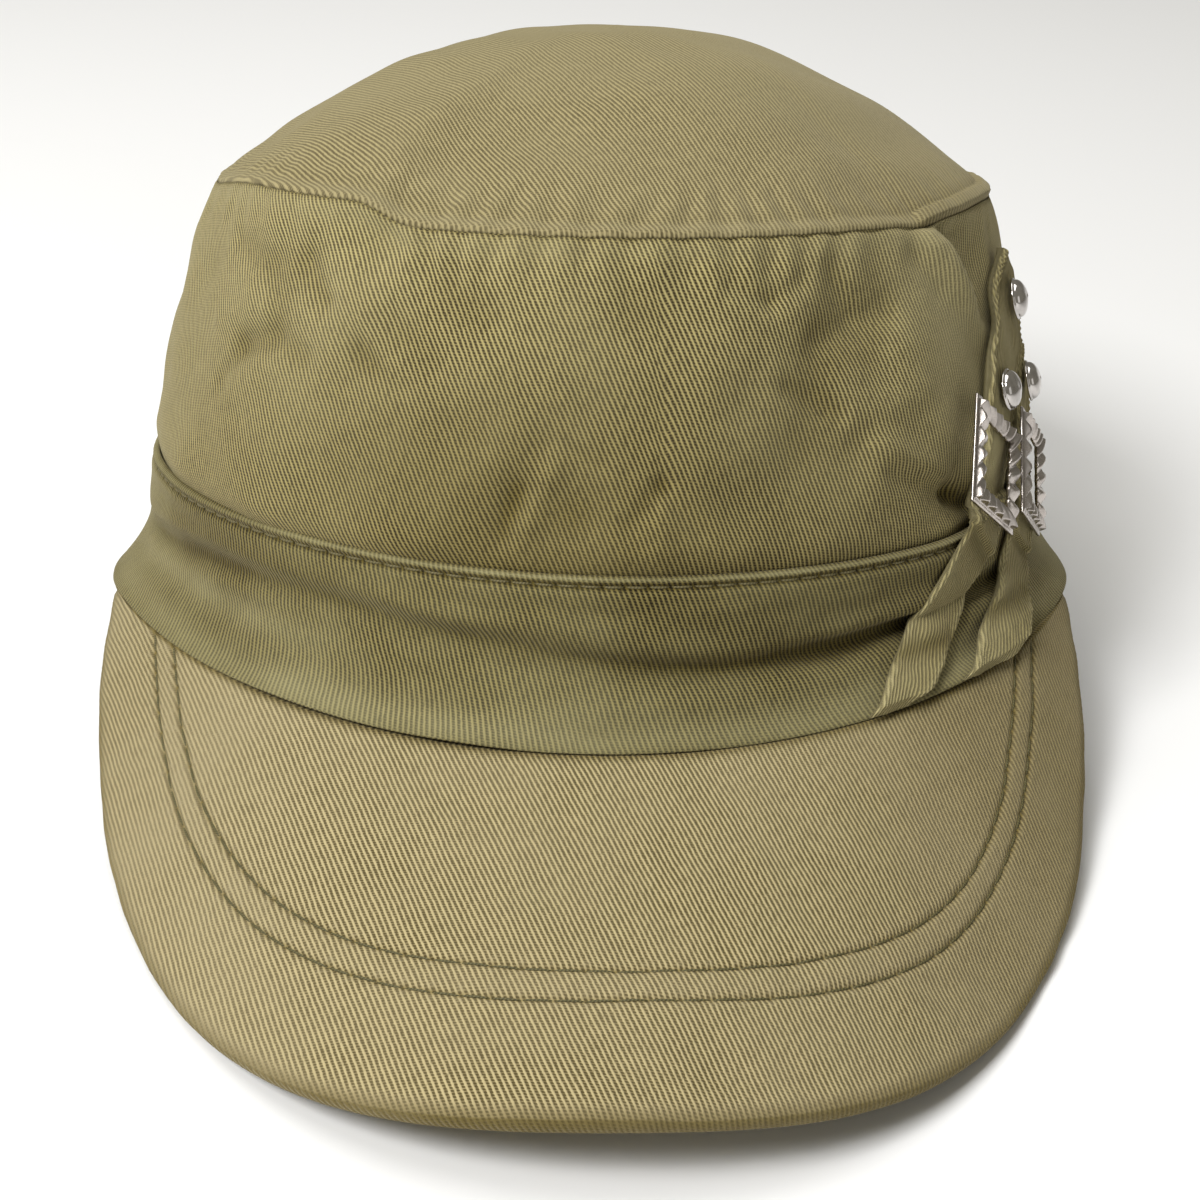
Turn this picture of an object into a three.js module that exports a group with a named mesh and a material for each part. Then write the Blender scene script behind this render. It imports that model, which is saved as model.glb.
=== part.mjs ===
// An army cap of cotton twill, standing on its peak and on the back of its band.
// It is cut as an oval domed top, a side wall, a band and a stiff peak. Two slanting straps on the
// wearer's left carry a rope-edged buckle each and domed studs.
//
// The pieces are drawn in the cap's own frame: the band's lower edge lies round z = 0, the front
// looks along -Y, and the wearer's left is +X. The whole cap is then leaned back onto the surface.
import * as THREE from 'three';

// Driving dimensions in millimetres and degrees.
// Angles run round the head from the front and grow towards the wearer's left.
// Levels run from 0 at a piece's lower edge to 1 at its upper edge.
const sectors = 64;
const frontSharpening = 14;
const crownCloth = 1.4;
const bandCloth = 1.6;
const strapCloth = 1.4;
const clearance = { seam: 0.36, peak: 0.4, strap: 0.4, trim: 0.38 };

// The head oval at each height. Lean is the slope by which an oval's front rises above its middle.
const ovals = {
  rim: { halfWidth: 93.4, halfDepth: 94.5, height: 0, centreX: 0, centreY: 0, lean: 0 },
  bandTop: { halfWidth: 86, halfDepth: 90.3, height: 20.5, centreX: 1.2, centreY: 2.2, lean: -1.8 },
  topSeam: { halfWidth: 72.6, halfDepth: 77, height: 68.6, centreX: 1.6, centreY: 4.6, lean: 1 },
};
const rimDropAtFront = 8.4;
// Behind the peak's ends the lower edge draws in.
const rimDrawIn = { depth: 3.2, from: 68, full: 94 };
const bandFlarePower = 4;
const crownSummit = new THREE.Vector3(4, 14, 96.6);
const crownFullness = 2.12;
const wallBulge = 1.2;
const wallStepUnderBand = 2;
const wallStepReach = 0.25;
const wallTuckLevel = -0.1;
// How far inside the seam line the cloth of the top and of the side wall meet.
const seamInset = { inward: 1.15, down: 0.87 };

// The top seam climbs on the wearer's right and drops back in a short pucker.
const seamStep = { height: 3.4, puckerFrom: -36, puckerTo: -26, fadeFrom: -55, fadeTo: -85 };

// Soft dents pressed into the side wall.
const wallDents = [
  { angle: 43, level: 0.12, angleReach: 8, levelReach: 0.12, depth: 1.7 },
  { angle: -31, level: 0.92, angleReach: 7, levelReach: 0.13, depth: 1 },
  { angle: -14, level: 0.5, angleReach: 10, levelReach: 0.3, depth: 0.8 },
  { angle: 20, level: 0.25, angleReach: 9, levelReach: 0.2, depth: 0.8 },
  { angle: -66, level: 0.55, angleReach: 9, levelReach: 0.4, depth: 0.9 },
  { angle: 140, level: 0.45, angleReach: 14, levelReach: 0.35, depth: 1.2 },
  { angle: -135, level: 0.5, angleReach: 14, levelReach: 0.35, depth: 1.2 },
];

// The pinched corner of the side wall: a soft ridge that slants back as it falls, and the hollow
// behind it.
const cornerFold = { topAngle: 46, slant: 25, fadeLevel: 0.45, behind: 7.5 };
const cornerRidge = { height: 1.6, reach: 4 };
const cornerHollow = { depth: 2, reach: 5 };

// The straps draw the side wall and the band's upper edge in beneath them.
const strapPull = { depth: 3, from: 38, full: 70, ease: 100, to: 130, bandLevel: 0.1 };

// Creases that run lengthwise in the band. Bend lifts a crease away from its lowest angle.
const bandCreases = [
  { angle: 8, level: 0.41, bend: 0.0001, from: -45, to: 66, depth: 1.1, reach: 0.13 },
  { angle: 36, level: 0.49, bend: 0.0003, from: 14, to: 60, depth: 1.1, reach: 0.12 },
  { angle: -20, level: 0.82, bend: -0.0001, from: -75, to: -8, depth: 0.6, reach: 0.09 },
  { angle: 180, level: 0.5, bend: 0, from: 120, to: 240, depth: 0.8, reach: 0.15 },
];

// The peak is a bent board. Its rays leave the band at the front slope and turn steeper and more
// outward towards the ends, and their length falls off round the corners.
const peak = {
  halfSpan: 72.6,
  length: 68.2,
  cornerPower: 2.71,
  cornerFall: 1.76,
  fan: 0.37,
  endFan: 33.5,
  frontSlope: 19,
  sideSlope: 80,
  sideEase: -55.7,
  droop: 1.9,
  droopAt: 60,
  thickness: 3,
  edgeBulge: 0.8,
  tuck: 1.4,
  endShare: 0.965,
  columns: 40,
  crowding: 78,
  reaches: [0, 0.15, 0.32, 0.5, 0.68, 0.84, 0.95, 1],
};

// Each strap's centre line from the band's lower edge up to its free end, and the trim fixed on it.
const straps = {
  front: {
    rows: [
      { angle: 30.4, height: -6.1, width: 8.8 },
      { angle: 35.9, height: 0.3, width: 8.5 },
      { angle: 40.6, height: 6, width: 9 },
      { angle: 44.7, height: 12, width: 10.5 },
      { angle: 48.6, height: 19, width: 13.5 },
      { angle: 52.6, height: 27.7, width: 15 },
      { angle: 57.9, height: 39.5, width: 15 },
      { angle: 63, height: 47, width: 15 },
      { angle: 67.8, height: 52.9, width: 15 },
      { angle: 70.6, height: 56.6, width: 14.5 },
    ],
    buckle: { angle: 52.6, height: 27.8, lean: 32.3, turn: 7.5, rise: 10 },
    studs: {
      lower: { angle: 57.9, height: 39.5, lean: 0, turn: 5, rise: 14 },
      upper: { angle: 67.8, height: 52.9, lean: 0, turn: 4, rise: 14 },
    },
  },
  back: {
    rows: [
      { angle: 46, height: -4, width: 8.8 },
      { angle: 50.7, height: -0.1, width: 8.5 },
      { angle: 54.6, height: 3.8, width: 8.5 },
      { angle: 58.6, height: 8, width: 9 },
      { angle: 62, height: 12.4, width: 10.5 },
      { angle: 64.6, height: 17, width: 12.5 },
      { angle: 66.8, height: 23, width: 14 },
      { angle: 68.4, height: 30, width: 14 },
      { angle: 71, height: 37.6, width: 12 },
      { angle: 72.6, height: 40.8, width: 11.5 },
    ],
    buckle: { angle: 66, height: 21.6, lean: 29, turn: 8, rise: 12 },
    studs: { lower: { angle: 69.9, height: 37, lean: 0, turn: 6, rise: 14 } },
  },
};
const strapSteps = 34;
const strapColumns = 3;
const strapStart = 0.14;
const bridge = { reach: 4, level: 2, slope: 0.8 };
const buckle = {
  side: 19.2,
  bar: 3.5,
  thickness: 2.2,
  shoulder: 0.8,
  lumpsPerSide: 5,
  lump: 0.3,
  stepsPerSide: 15,
};
const stud = { radius: 3.75, height: 2.4, collar: 0.5, sides: 14 };

// How far the cap leans back where it rests on the peak's corners and on the back of its band.
const restLean = 11;

const radians = THREE.MathUtils.degToRad;
const smooth = (x, from, to) => THREE.MathUtils.smoothstep(x, Math.min(from, to), Math.max(from, to));
const hill = (x) => Math.exp(-x * x);

// The shortest signed turn from one angle to another.
function turn(angle, from) {
  return THREE.MathUtils.euclideanModulo(angle - from + 180, 360) - 180;
}

// The level direction that leaves the head oval squarely at an angle.
function outward(angle) {
  const { halfWidth, halfDepth } = ovals.bandTop;
  const x = Math.sin(radians(angle)) / halfWidth;
  const y = -Math.cos(radians(angle)) / halfDepth;
  return new THREE.Vector3(x, y, 0).normalize();
}

// A point on one of the ovals, moved in by an inset.
function onOval(oval, angle, inset = 0) {
  const across = Math.sin(radians(angle));
  const ahead = Math.cos(radians(angle));
  const rise = oval.halfDepth * ahead * Math.tan(radians(oval.lean));
  return new THREE.Vector3(
    oval.centreX + (oval.halfWidth - inset) * across,
    oval.centreY - (oval.halfDepth - inset) * ahead,
    oval.height + rise,
  );
}

function onRim(angle, inset = 0) {
  const drawn = rimDrawIn.depth * smooth(Math.abs(turn(angle, 0)), rimDrawIn.from, rimDrawIn.full);
  const point = onOval(ovals.rim, angle, inset + drawn);
  const ahead = Math.max(Math.cos(radians(angle)), 0);
  point.z -= rimDropAtFront * ahead * ahead;
  return point;
}

function onTopSeam(angle, inset = 0) {
  const point = onOval(ovals.topSeam, angle, inset);
  const side = turn(angle, 0);
  const rise = 1 - smooth(side, seamStep.puckerFrom, seamStep.puckerTo);
  const fade = smooth(side, seamStep.fadeTo, seamStep.fadeFrom);
  point.z += seamStep.height * rise * fade;
  return point;
}

// How much of the straps' pull is felt at an angle, from 0 to 1.
function pulledAt(angle) {
  const side = turn(angle, 0);
  const eased = 1 - smooth(side, strapPull.ease, strapPull.to);
  return smooth(side, strapPull.from, strapPull.full) * eased;
}

// The band stands nearly upright and flares out to its lower edge.
function onBand(angle, level, inset = 0) {
  const low = onRim(angle, inset);
  const high = onOval(ovals.bandTop, angle, inset);
  const spread = 1 - (1 - level) ** bandFlarePower;
  const point = low.clone().lerp(high, spread);
  point.z = THREE.MathUtils.lerp(low.z, high.z, level);
  let depth = 0;
  for (const crease of bandCreases) {
    const along = turn(angle, crease.angle);
    const line = crease.level + crease.bend * along * along;
    const middle = (crease.from + crease.to) / 2;
    const half = (crease.to - crease.from) / 2;
    const fade = 1 - smooth(Math.abs(turn(angle, middle)), half * 0.55, half);
    depth += crease.depth * fade * hill((level - line) / crease.reach);
  }
  depth += strapPull.depth * pulledAt(angle) * smooth(level, strapPull.bandLevel, 1);
  return point.addScaledVector(outward(angle), -depth);
}

// How far the side wall stands out from the straight line between its two edges.
function wallRelief(angle, level) {
  const side = turn(angle, 0);
  const arch = 4 * level * (1 - level);
  let relief = level > 0 ? wallBulge * arch * (0.6 + 0.8 * level) : 0;
  for (const dent of wallDents) {
    const around = hill(turn(angle, dent.angle) / dent.angleReach);
    const upward = hill((level - dent.level) / dent.levelReach);
    relief -= dent.depth * around * upward * smooth(level, 0, 0.06) * (1 - smooth(level, 0.94, 1));
  }
  const ridgeAngle = cornerFold.topAngle + (1 - level) * cornerFold.slant;
  const strength = smooth(level, cornerFold.fadeLevel, 0.85) * (1 - smooth(level, 0.93, 1));
  relief += strength * cornerRidge.height * hill((side - ridgeAngle) / cornerRidge.reach);
  const hollow = (side - ridgeAngle - cornerFold.behind) / cornerHollow.reach;
  relief -= strength * cornerHollow.depth * hill(hollow);
  const drawn = 1 - Math.max(level, 0) ** 1.5;
  return relief - strapPull.depth * pulledAt(angle) * drawn;
}

// The side wall rises from behind the band's upper edge to the top seam.
function onWall(angle, level, inset = 0) {
  const low = onOval(ovals.bandTop, angle, inset);
  const high = onTopSeam(angle, inset);
  const point = low.clone().lerp(high, level);
  if (level < 0) {
    point.x = low.x;
    point.y = low.y;
  }
  const near = THREE.MathUtils.clamp(1 - level / wallStepReach, 0, 1.6);
  const step = wallStepUnderBand * near * near;
  return point.addScaledVector(outward(angle), wallRelief(angle, level) - step);
}

// The top is a low dome with its summit behind the middle. Share runs from 0 there to 1 at the seam.
function onDome(angle, share, drop = 0) {
  const seam = onTopSeam(angle);
  const point = crownSummit.clone().lerp(seam, share);
  point.z = crownSummit.z + (seam.z - crownSummit.z) * share ** crownFullness;
  point.z -= drop;
  return point;
}

// Where the cloth of the top and of the side wall both end inside the seam.
function insideSeam(angle) {
  const point = onTopSeam(angle).addScaledVector(outward(angle), -seamInset.inward);
  point.z -= seamInset.down;
  return point;
}

// A closed solid that runs through matching sections, each a ring of points. The run may close on
// itself. Where it doesn't, each end is filled across its section. Points may coincide.
function loft(sections, closed) {
  const points = sections.flat();
  const ring = sections[0].length;
  const faces = [];
  const apart = (a, b) => points[a].distanceToSquared(points[b]) > 1e-8;
  const face = (a, b, c) => {
    if (apart(a, b) && apart(b, c) && apart(c, a)) faces.push(a, b, c);
  };
  const quad = (a, b, c, d) => {
    face(a, b, c);
    face(a, c, d);
  };
  const steps = closed ? sections.length : sections.length - 1;
  for (let i = 0; i < steps; i += 1) {
    const here = i * ring;
    const next = ((i + 1) % sections.length) * ring;
    for (let k = 0; k < ring; k += 1) {
      const after = (k + 1) % ring;
      quad(here + k, next + k, next + after, here + after);
    }
  }
  if (!closed) {
    const end = steps * ring;
    for (let k = 0; k < ring / 2 - 1; k += 1) {
      const mate = ring - 1 - k;
      quad(k, k + 1, mate - 1, mate);
      quad(end + mate, end + mate - 1, end + k + 1, end + k);
    }
  }
  const geometry = new THREE.BufferGeometry();
  geometry.setFromPoints(points);
  geometry.setIndex(faces);
  return facingOut(geometry);
}

// Turns a closed geometry's faces round if its volume comes out negative.
function facingOut(geometry) {
  const position = geometry.getAttribute('position');
  const index = geometry.getIndex().array;
  const [a, b, c] = [new THREE.Vector3(), new THREE.Vector3(), new THREE.Vector3()];
  let volume = 0;
  for (let i = 0; i < index.length; i += 3) {
    a.fromBufferAttribute(position, index[i]);
    b.fromBufferAttribute(position, index[i + 1]);
    c.fromBufferAttribute(position, index[i + 2]);
    volume += a.dot(b.cross(c));
  }
  if (volume < 0) {
    geometry.setIndex(Array.from(index).reverse());
  }
  geometry.computeVertexNormals();
  return geometry;
}

// Sector angles, closer together at the front than at the back.
const around = Array.from({ length: sectors }, (_, i) => {
  const even = (360 * i) / sectors;
  return even - frontSharpening * Math.sin(radians(even));
});

// Washed olive twill, a little yellower on the peak and greener on the band.
function cloth(colour) {
  return new THREE.MeshStandardMaterial({ color: colour, roughness: 0.95, metalness: 0 });
}

function metal() {
  return new THREE.MeshStandardMaterial({ color: '#a8a4a0', roughness: 0.25, metalness: 1 });
}

function crownTop() {
  const shares = [1, 0.9, 0.75, 0.57, 0.38, 0.19, 0];
  const sections = around.map((angle) => {
    const outer = shares.map((share) => onDome(angle, share));
    const inner = shares.map((share) => onDome(angle, share, crownCloth * 1.12));
    inner[0] = insideSeam(angle);
    return [...outer, ...inner.reverse()];
  });
  return new THREE.Mesh(loft(sections, true), cloth('#8b8557'));
}

function crownSide() {
  const levels = [wallTuckLevel, 0.03, 0.1, 0.2, 0.33, 0.46, 0.59, 0.71, 0.82, 0.92, 1];
  const top = levels.length - 1;
  const sections = around.map((angle) => {
    const outer = levels.map((level) => onWall(angle, level));
    const inner = outer.map((point) => point.clone().addScaledVector(outward(angle), -crownCloth));
    inner[top] = insideSeam(angle);
    outer[top].z -= clearance.seam;
    inner[top].z -= clearance.seam;
    return [...outer, ...inner.reverse()];
  });
  return new THREE.Mesh(loft(sections, true), cloth('#857f52'));
}

const restTurn = new THREE.Euler(radians(-restLean), 0, 0);

// Lifts a point that would lie below the surface straight up onto it, as soft cloth settles.
function settle(point, surface) {
  const rested = point.clone().applyEuler(restTurn).z;
  const turnBack = new THREE.Quaternion().setFromEuler(restTurn).invert();
  const up = new THREE.Vector3(0, 0, Math.max(surface - rested, 0)).applyQuaternion(turnBack);
  return point.add(up);
}

function band(surface) {
  const levels = [0, 0.08, 0.2, 0.34, 0.48, 0.64, 0.82, 1];
  const sections = around.map((angle) => {
    const outer = levels.map((level) => onBand(angle, level));
    const inner = levels.map((level) => onBand(angle, level, bandCloth));
    return [...outer, ...inner.reverse()].map((point) => settle(point, surface));
  });
  return new THREE.Mesh(loft(sections, true), cloth('#7d794e'));
}

// The peak's upper face. Share runs from -1 to 1 between its ends, and reach from 0 to 1 outward.
function onPeak(share, reach) {
  const angle = share * peak.halfSpan;
  const slope = radians(peak.frontSlope + peak.sideSlope * share ** 2 + peak.sideEase * share ** 4);
  const heading = radians(peak.fan * angle + peak.endFan * share ** 3);
  const fall = (1 - Math.abs(share) ** peak.cornerPower) ** peak.cornerFall;
  const run = reach * peak.length * fall;
  const point = onRim(angle);
  point.x += run * Math.cos(slope) * Math.sin(heading);
  point.y -= run * Math.cos(slope) * Math.cos(heading);
  point.z -= run * Math.sin(slope) + peak.droop * (run / peak.droopAt) ** 2;
  point.z -= clearance.peak;
  return point;
}

// The direction that leaves the peak's upper face squarely.
function peakNormal(share, reach) {
  const step = 0.004;
  const along = onPeak(share + step, reach).sub(onPeak(share - step, reach));
  const out = onPeak(share, Math.min(reach + step, 1)).sub(onPeak(share, Math.max(reach - step, 0)));
  return out.cross(along).normalize();
}

// The board is lofted from end to end. Each section runs out along its upper face, round its front
// edge and back along its lower face, and its root is tucked under the band.
function peakBoard() {
  const crowding = radians(peak.crowding);
  const sections = Array.from({ length: peak.columns + 1 }, (_, i) => {
    const even = (2 * i) / peak.columns - 1;
    const share = (peak.endShare * Math.sin(even * crowding)) / Math.sin(crowding);
    const at = (reach, depth) =>
      onPeak(share, reach).addScaledVector(peakNormal(share, reach), -depth);
    const ray = onPeak(share, 1).sub(onPeak(share, 0.9)).normalize();
    const tucked = onPeak(share, 0);
    tucked.addScaledVector(outward(share * peak.halfSpan), -peak.tuck);
    const upper = peak.reaches.map((reach) => at(reach, 0));
    const edge = at(1, peak.thickness / 2).addScaledVector(ray, peak.edgeBulge);
    const lower = peak.reaches.map((reach) => at(reach, peak.thickness)).reverse();
    const tuckedLow = tucked.clone().setZ(tucked.z - peak.thickness);
    return [tucked, ...upper, edge, ...lower, tuckedLow];
  });
  return new THREE.Mesh(loft(sections, false), cloth('#8f8354'));
}

// The outermost point of the band or the side wall at an angle and a height.
function onSkin(angle, height) {
  const bandHigh = onBand(angle, 1);
  const bandLow = onBand(angle, 0);
  if (height <= bandHigh.z) {
    const level = THREE.MathUtils.clamp((height - bandLow.z) / (bandHigh.z - bandLow.z), 0, 1);
    return onBand(angle, level).setZ(height);
  }
  const wallHigh = onWall(angle, 1);
  const level = THREE.MathUtils.clamp((height - bandHigh.z) / (wallHigh.z - bandHigh.z), 0, 1);
  return onWall(angle, level).setZ(height);
}

// The same, bridging small hollows and steps as a stretched strap does: it lies level for a short
// way beside whatever stands out, and slopes down gently from there.
function onBridgedSkin(angle, height, lift) {
  const out = outward(angle);
  const here = onSkin(angle, height);
  let raised = 0;
  for (let shift = -bridge.reach; shift <= bridge.reach; shift += 0.5) {
    const near = onSkin(angle, height + shift).setZ(height);
    const fall = bridge.slope * Math.max(Math.abs(shift) - bridge.level, 0);
    raised = Math.max(raised, near.sub(here).dot(out) - fall);
  }
  return here.addScaledVector(out, raised + lift);
}

// The strap's cut lower end follows the band's edge, and further up its edges run square to it.
function strapPoint(line, share, across, lift) {
  const { x: angle, y: height, z: width } = line.getPoint(share);
  const ahead = line.getTangent(share);
  const perDegree = onSkin(angle + 1, height).distanceTo(onSkin(angle - 1, height)) / 2;
  const along = new THREE.Vector2(ahead.x * perDegree, ahead.y).normalize();
  along.lerp(new THREE.Vector2(0, 1), 1 - smooth(share, 0, strapStart)).normalize();
  const offset = (across * width) / 2;
  const placedAngle = angle + (offset * along.y) / perDegree;
  const lowest = onRim(placedAngle).z + clearance.strap;
  const placedHeight = Math.max(height - offset * along.x, lowest);
  return onBridgedSkin(placedAngle, placedHeight, lift);
}

function strap(rows) {
  const points = rows.map((row) => new THREE.Vector3(row.angle, row.height, row.width));
  const line = new THREE.CatmullRomCurve3(points, false, 'centripetal');
  const shares = Array.from({ length: strapSteps + 1 }, (_, i) => i / strapSteps);
  const columns = Array.from({ length: strapColumns + 1 }, (_, i) => (2 * i) / strapColumns - 1);
  const sections = shares.map((share) => {
    const at = (lift) => columns.map((across) => strapPoint(line, share, across, lift));
    return [...at(clearance.strap + strapCloth), ...at(clearance.strap).reverse()];
  });
  return new THREE.Mesh(loft(sections, false), cloth('#7f7a4e'));
}

// The flat place on the strap where a piece of trim of a given half size sits. It faces outward,
// turned round and tipped up by the place's own angles, and is raised until it clears the cloth.
function seat(place, halfSize) {
  const lean = radians(place.lean);
  const tip = radians(place.rise);
  const zAxis = new THREE.Vector3(0, 0, 1);
  const facing = outward(place.angle).applyAxisAngle(zAxis, radians(place.turn));
  const level = zAxis.clone().cross(facing);
  const normal = facing.multiplyScalar(Math.cos(tip)).addScaledVector(zAxis, Math.sin(tip));
  const along = normal.clone().cross(level).applyAxisAngle(normal, -lean);
  const across = along.clone().cross(normal);
  const perDegree = radians(1) * ovals.bandTop.halfWidth;
  const clothAt = (right, forward) => {
    const side = right * Math.cos(lean) + forward * Math.sin(lean);
    const up = forward * Math.cos(lean) - right * Math.sin(lean);
    const lift = clearance.strap + strapCloth + clearance.trim;
    return onBridgedSkin(place.angle + side / perDegree, place.height + up, lift);
  };
  const origin = clothAt(0, 0);
  let highest = 0;
  for (const i of [-1, -0.5, 0, 0.5, 1]) {
    for (const j of [-1, -0.5, 0, 0.5, 1]) {
      const height = clothAt(i * halfSize, j * halfSize).sub(origin).dot(normal);
      highest = Math.max(highest, height);
    }
  }
  origin.addScaledVector(normal, highest);
  return new THREE.Matrix4().makeBasis(across, along, normal).setPosition(origin);
}

// A flat square frame whose inner edge is scalloped like a rope.
function buckleFrame() {
  const total = buckle.stepsPerSide * 4;
  const half = buckle.side / 2;
  const sections = Array.from({ length: total }, (_, i) => {
    const quarter = Math.floor(i / buckle.stepsPerSide);
    const share = (i % buckle.stepsPerSide) / buckle.stepsPerSide;
    const wave = Math.cos(2 * Math.PI * buckle.lumpsPerSide * share);
    const inner = half - buckle.bar - buckle.lump * wave;
    const crest = buckle.thickness + (buckle.lump * wave) / 2;
    const spot = (distance, height) => {
      const corner = new THREE.Vector3((share * 2 - 1) * distance, -distance, height);
      return corner.applyAxisAngle(new THREE.Vector3(0, 0, 1), (quarter * Math.PI) / 2);
    };
    return [
      spot(half, 0),
      spot(half, buckle.thickness * 0.62),
      spot(half - buckle.shoulder, crest),
      spot(inner + buckle.shoulder, crest),
      spot(inner, buckle.thickness * 0.55),
      spot(inner + 0.2, 0),
    ];
  });
  return loft(sections, true);
}

// A domed rivet head with a short upright collar, standing on a flat face.
function studHead() {
  const profile = [new THREE.Vector2(0, 0), new THREE.Vector2(stud.radius, 0)];
  const rounds = 4;
  for (let i = 0; i < rounds; i += 1) {
    const angle = (Math.PI / 2) * (i / rounds);
    const height = stud.collar + (stud.height - stud.collar) * Math.sin(angle);
    profile.push(new THREE.Vector2(stud.radius * Math.cos(angle), height));
  }
  profile.push(new THREE.Vector2(0, stud.height));
  const geometry = new THREE.LatheGeometry(profile, stud.sides);
  return geometry.rotateX(Math.PI / 2);
}

function onStrap(geometry, place, halfSize) {
  const mesh = new THREE.Mesh(geometry, metal());
  seat(place, halfSize).decompose(mesh.position, mesh.quaternion, mesh.scale);
  return mesh;
}

function named(mesh, name) {
  mesh.name = name;
  return mesh;
}

const cap = new THREE.Group();
const board = named(peakBoard(), 'peak');
cap.add(board);
cap.rotation.copy(restTurn);
const surface = new THREE.Box3().setFromObject(cap, true).min.z;
cap.add(named(band(surface), 'band'));
cap.add(named(crownSide(), 'crown_side'));
cap.add(named(crownTop(), 'crown_top'));

for (const [which, { rows, buckle: frame, studs }] of Object.entries(straps)) {
  cap.add(named(strap(rows), `strap_${which}`));
  cap.add(named(onStrap(buckleFrame(), frame, buckle.side / 2), `buckle_${which}`));
  for (const [place, spot] of Object.entries(studs)) {
    cap.add(named(onStrap(studHead(), spot, stud.radius), `stud_${which}_${place}`));
  }
}

// The part's origin is the middle of its bounding box's lower face.
const bounds = new THREE.Box3().setFromObject(cap, true);
const middle = bounds.getCenter(new THREE.Vector3());
cap.position.set(-middle.x, -middle.y, -bounds.min.z);

const group = new THREE.Group();
group.add(cap);

export default group;
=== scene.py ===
import math

import bpy
import numpy as np
from mathutils import Matrix, Vector


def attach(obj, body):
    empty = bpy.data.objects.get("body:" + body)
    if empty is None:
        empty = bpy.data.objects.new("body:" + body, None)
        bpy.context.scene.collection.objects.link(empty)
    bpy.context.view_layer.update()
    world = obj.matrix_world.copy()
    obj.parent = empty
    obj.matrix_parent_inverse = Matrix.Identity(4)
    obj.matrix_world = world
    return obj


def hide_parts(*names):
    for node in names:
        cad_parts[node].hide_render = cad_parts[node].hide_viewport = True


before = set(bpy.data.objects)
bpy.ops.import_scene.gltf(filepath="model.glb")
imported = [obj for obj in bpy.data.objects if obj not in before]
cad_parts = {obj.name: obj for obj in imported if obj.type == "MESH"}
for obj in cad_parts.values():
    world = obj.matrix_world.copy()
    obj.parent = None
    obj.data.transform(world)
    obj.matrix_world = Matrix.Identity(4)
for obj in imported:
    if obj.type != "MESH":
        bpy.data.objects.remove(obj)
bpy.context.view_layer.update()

# The side wall is one strip of washed cotton twill, sewn into a ring. Its lower edge is tucked
# behind the band, and its upper edge is turned in and sewn to the top panel. The straps draw it
# in on the wearer's left, where it is pinched into a soft fold under the seam.
crown_cloth = 1.4
seam_gap = 0.36
seam_turn = 1.15
wall_tall = 48
wall_radius = 80
band_top = {"width": 86, "depth": 90.3, "height": 20.5, "x": 1.2, "y": 2.2, "lean": -1.8}
top_seam = {"width": 72.6, "depth": 77, "height": 68.6, "x": 1.6, "y": 4.6, "lean": 1}

# Sizes are millimetres in the cap's own frame. Angles are degrees round the head from the front
# towards the wearer's left. Levels run from 0 at the band's upper edge to 1 at the top seam.
# At rest the cap leans back, on the peak's two sides and the back of its band.
rest_lean = math.radians(11)
rest_place = (0, 33.768, 16.497)


def smooth(x, start, end):
    t = np.clip((x - start) / (end - start), 0, 1)
    return t * t * (3 - 2 * t)


def hill(x):
    return np.exp(-x * x)


def turn(angle, start):
    """The shortest signed turn from one angle to another."""
    return (angle - start + 180) % 360 - 180


def patch(angle, level, middle, wide, up, tall):
    """A soft round patch, 1 at its middle angle and level and 0 away from there."""
    return hill(turn(angle, middle) / wide) * hill((level - up) / tall)


def on_oval(oval, angle, inset=0):
    """A point of a tilted oval round the head, or of one that lies inside it."""
    across = np.sin(np.radians(angle))
    ahead = np.cos(np.radians(angle))
    x = oval["x"] + (oval["width"] - inset) * across
    y = oval["y"] - (oval["depth"] - inset) * ahead
    z = oval["height"] + oval["depth"] * ahead * math.tan(math.radians(oval["lean"]))
    return np.stack(np.broadcast_arrays(x, y, z), -1)


def outward(angle):
    """The level direction that leaves the head squarely at an angle."""
    x = np.sin(np.radians(angle)) / band_top["width"]
    y = -np.cos(np.radians(angle)) / band_top["depth"]
    length = np.hypot(x, y)
    return np.stack([x / length, y / length, np.zeros_like(x)], -1)


def on_top_seam(angle):
    """The top seam, which climbs on the wearer's right and drops back in a short pucker."""
    point = on_oval(top_seam, angle)
    side = turn(angle, 0)
    point[..., 2] += 3.4 * (1 - smooth(side, -36, -26)) * smooth(side, -85, -55)
    point[..., 2] += 0.9 * hill((side - 66) / 10) - 0.8 * hill((side - 46) / 4)
    return point


def pulled_at(angle):
    """How much of the straps' pull is felt at an angle, from 0 to 1."""
    side = turn(angle, 0)
    return smooth(side, 38, 70) * (1 - smooth(side, 100, 130))


# The wall's broad dents: angle, level, and how wide, tall and deep they are.
wall_dents = [
    (43, 0.12, 8, 0.12, 1.7),
    (-31, 0.92, 7, 0.13, 1),
    (-14, 0.5, 10, 0.3, 0.8),
    (20, 0.25, 9, 0.2, 0.8),
    (-66, 0.55, 9, 0.4, 0.9),
    (140, 0.45, 14, 0.35, 1.2),
    (-135, 0.5, 14, 0.35, 1.2),
]


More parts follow.
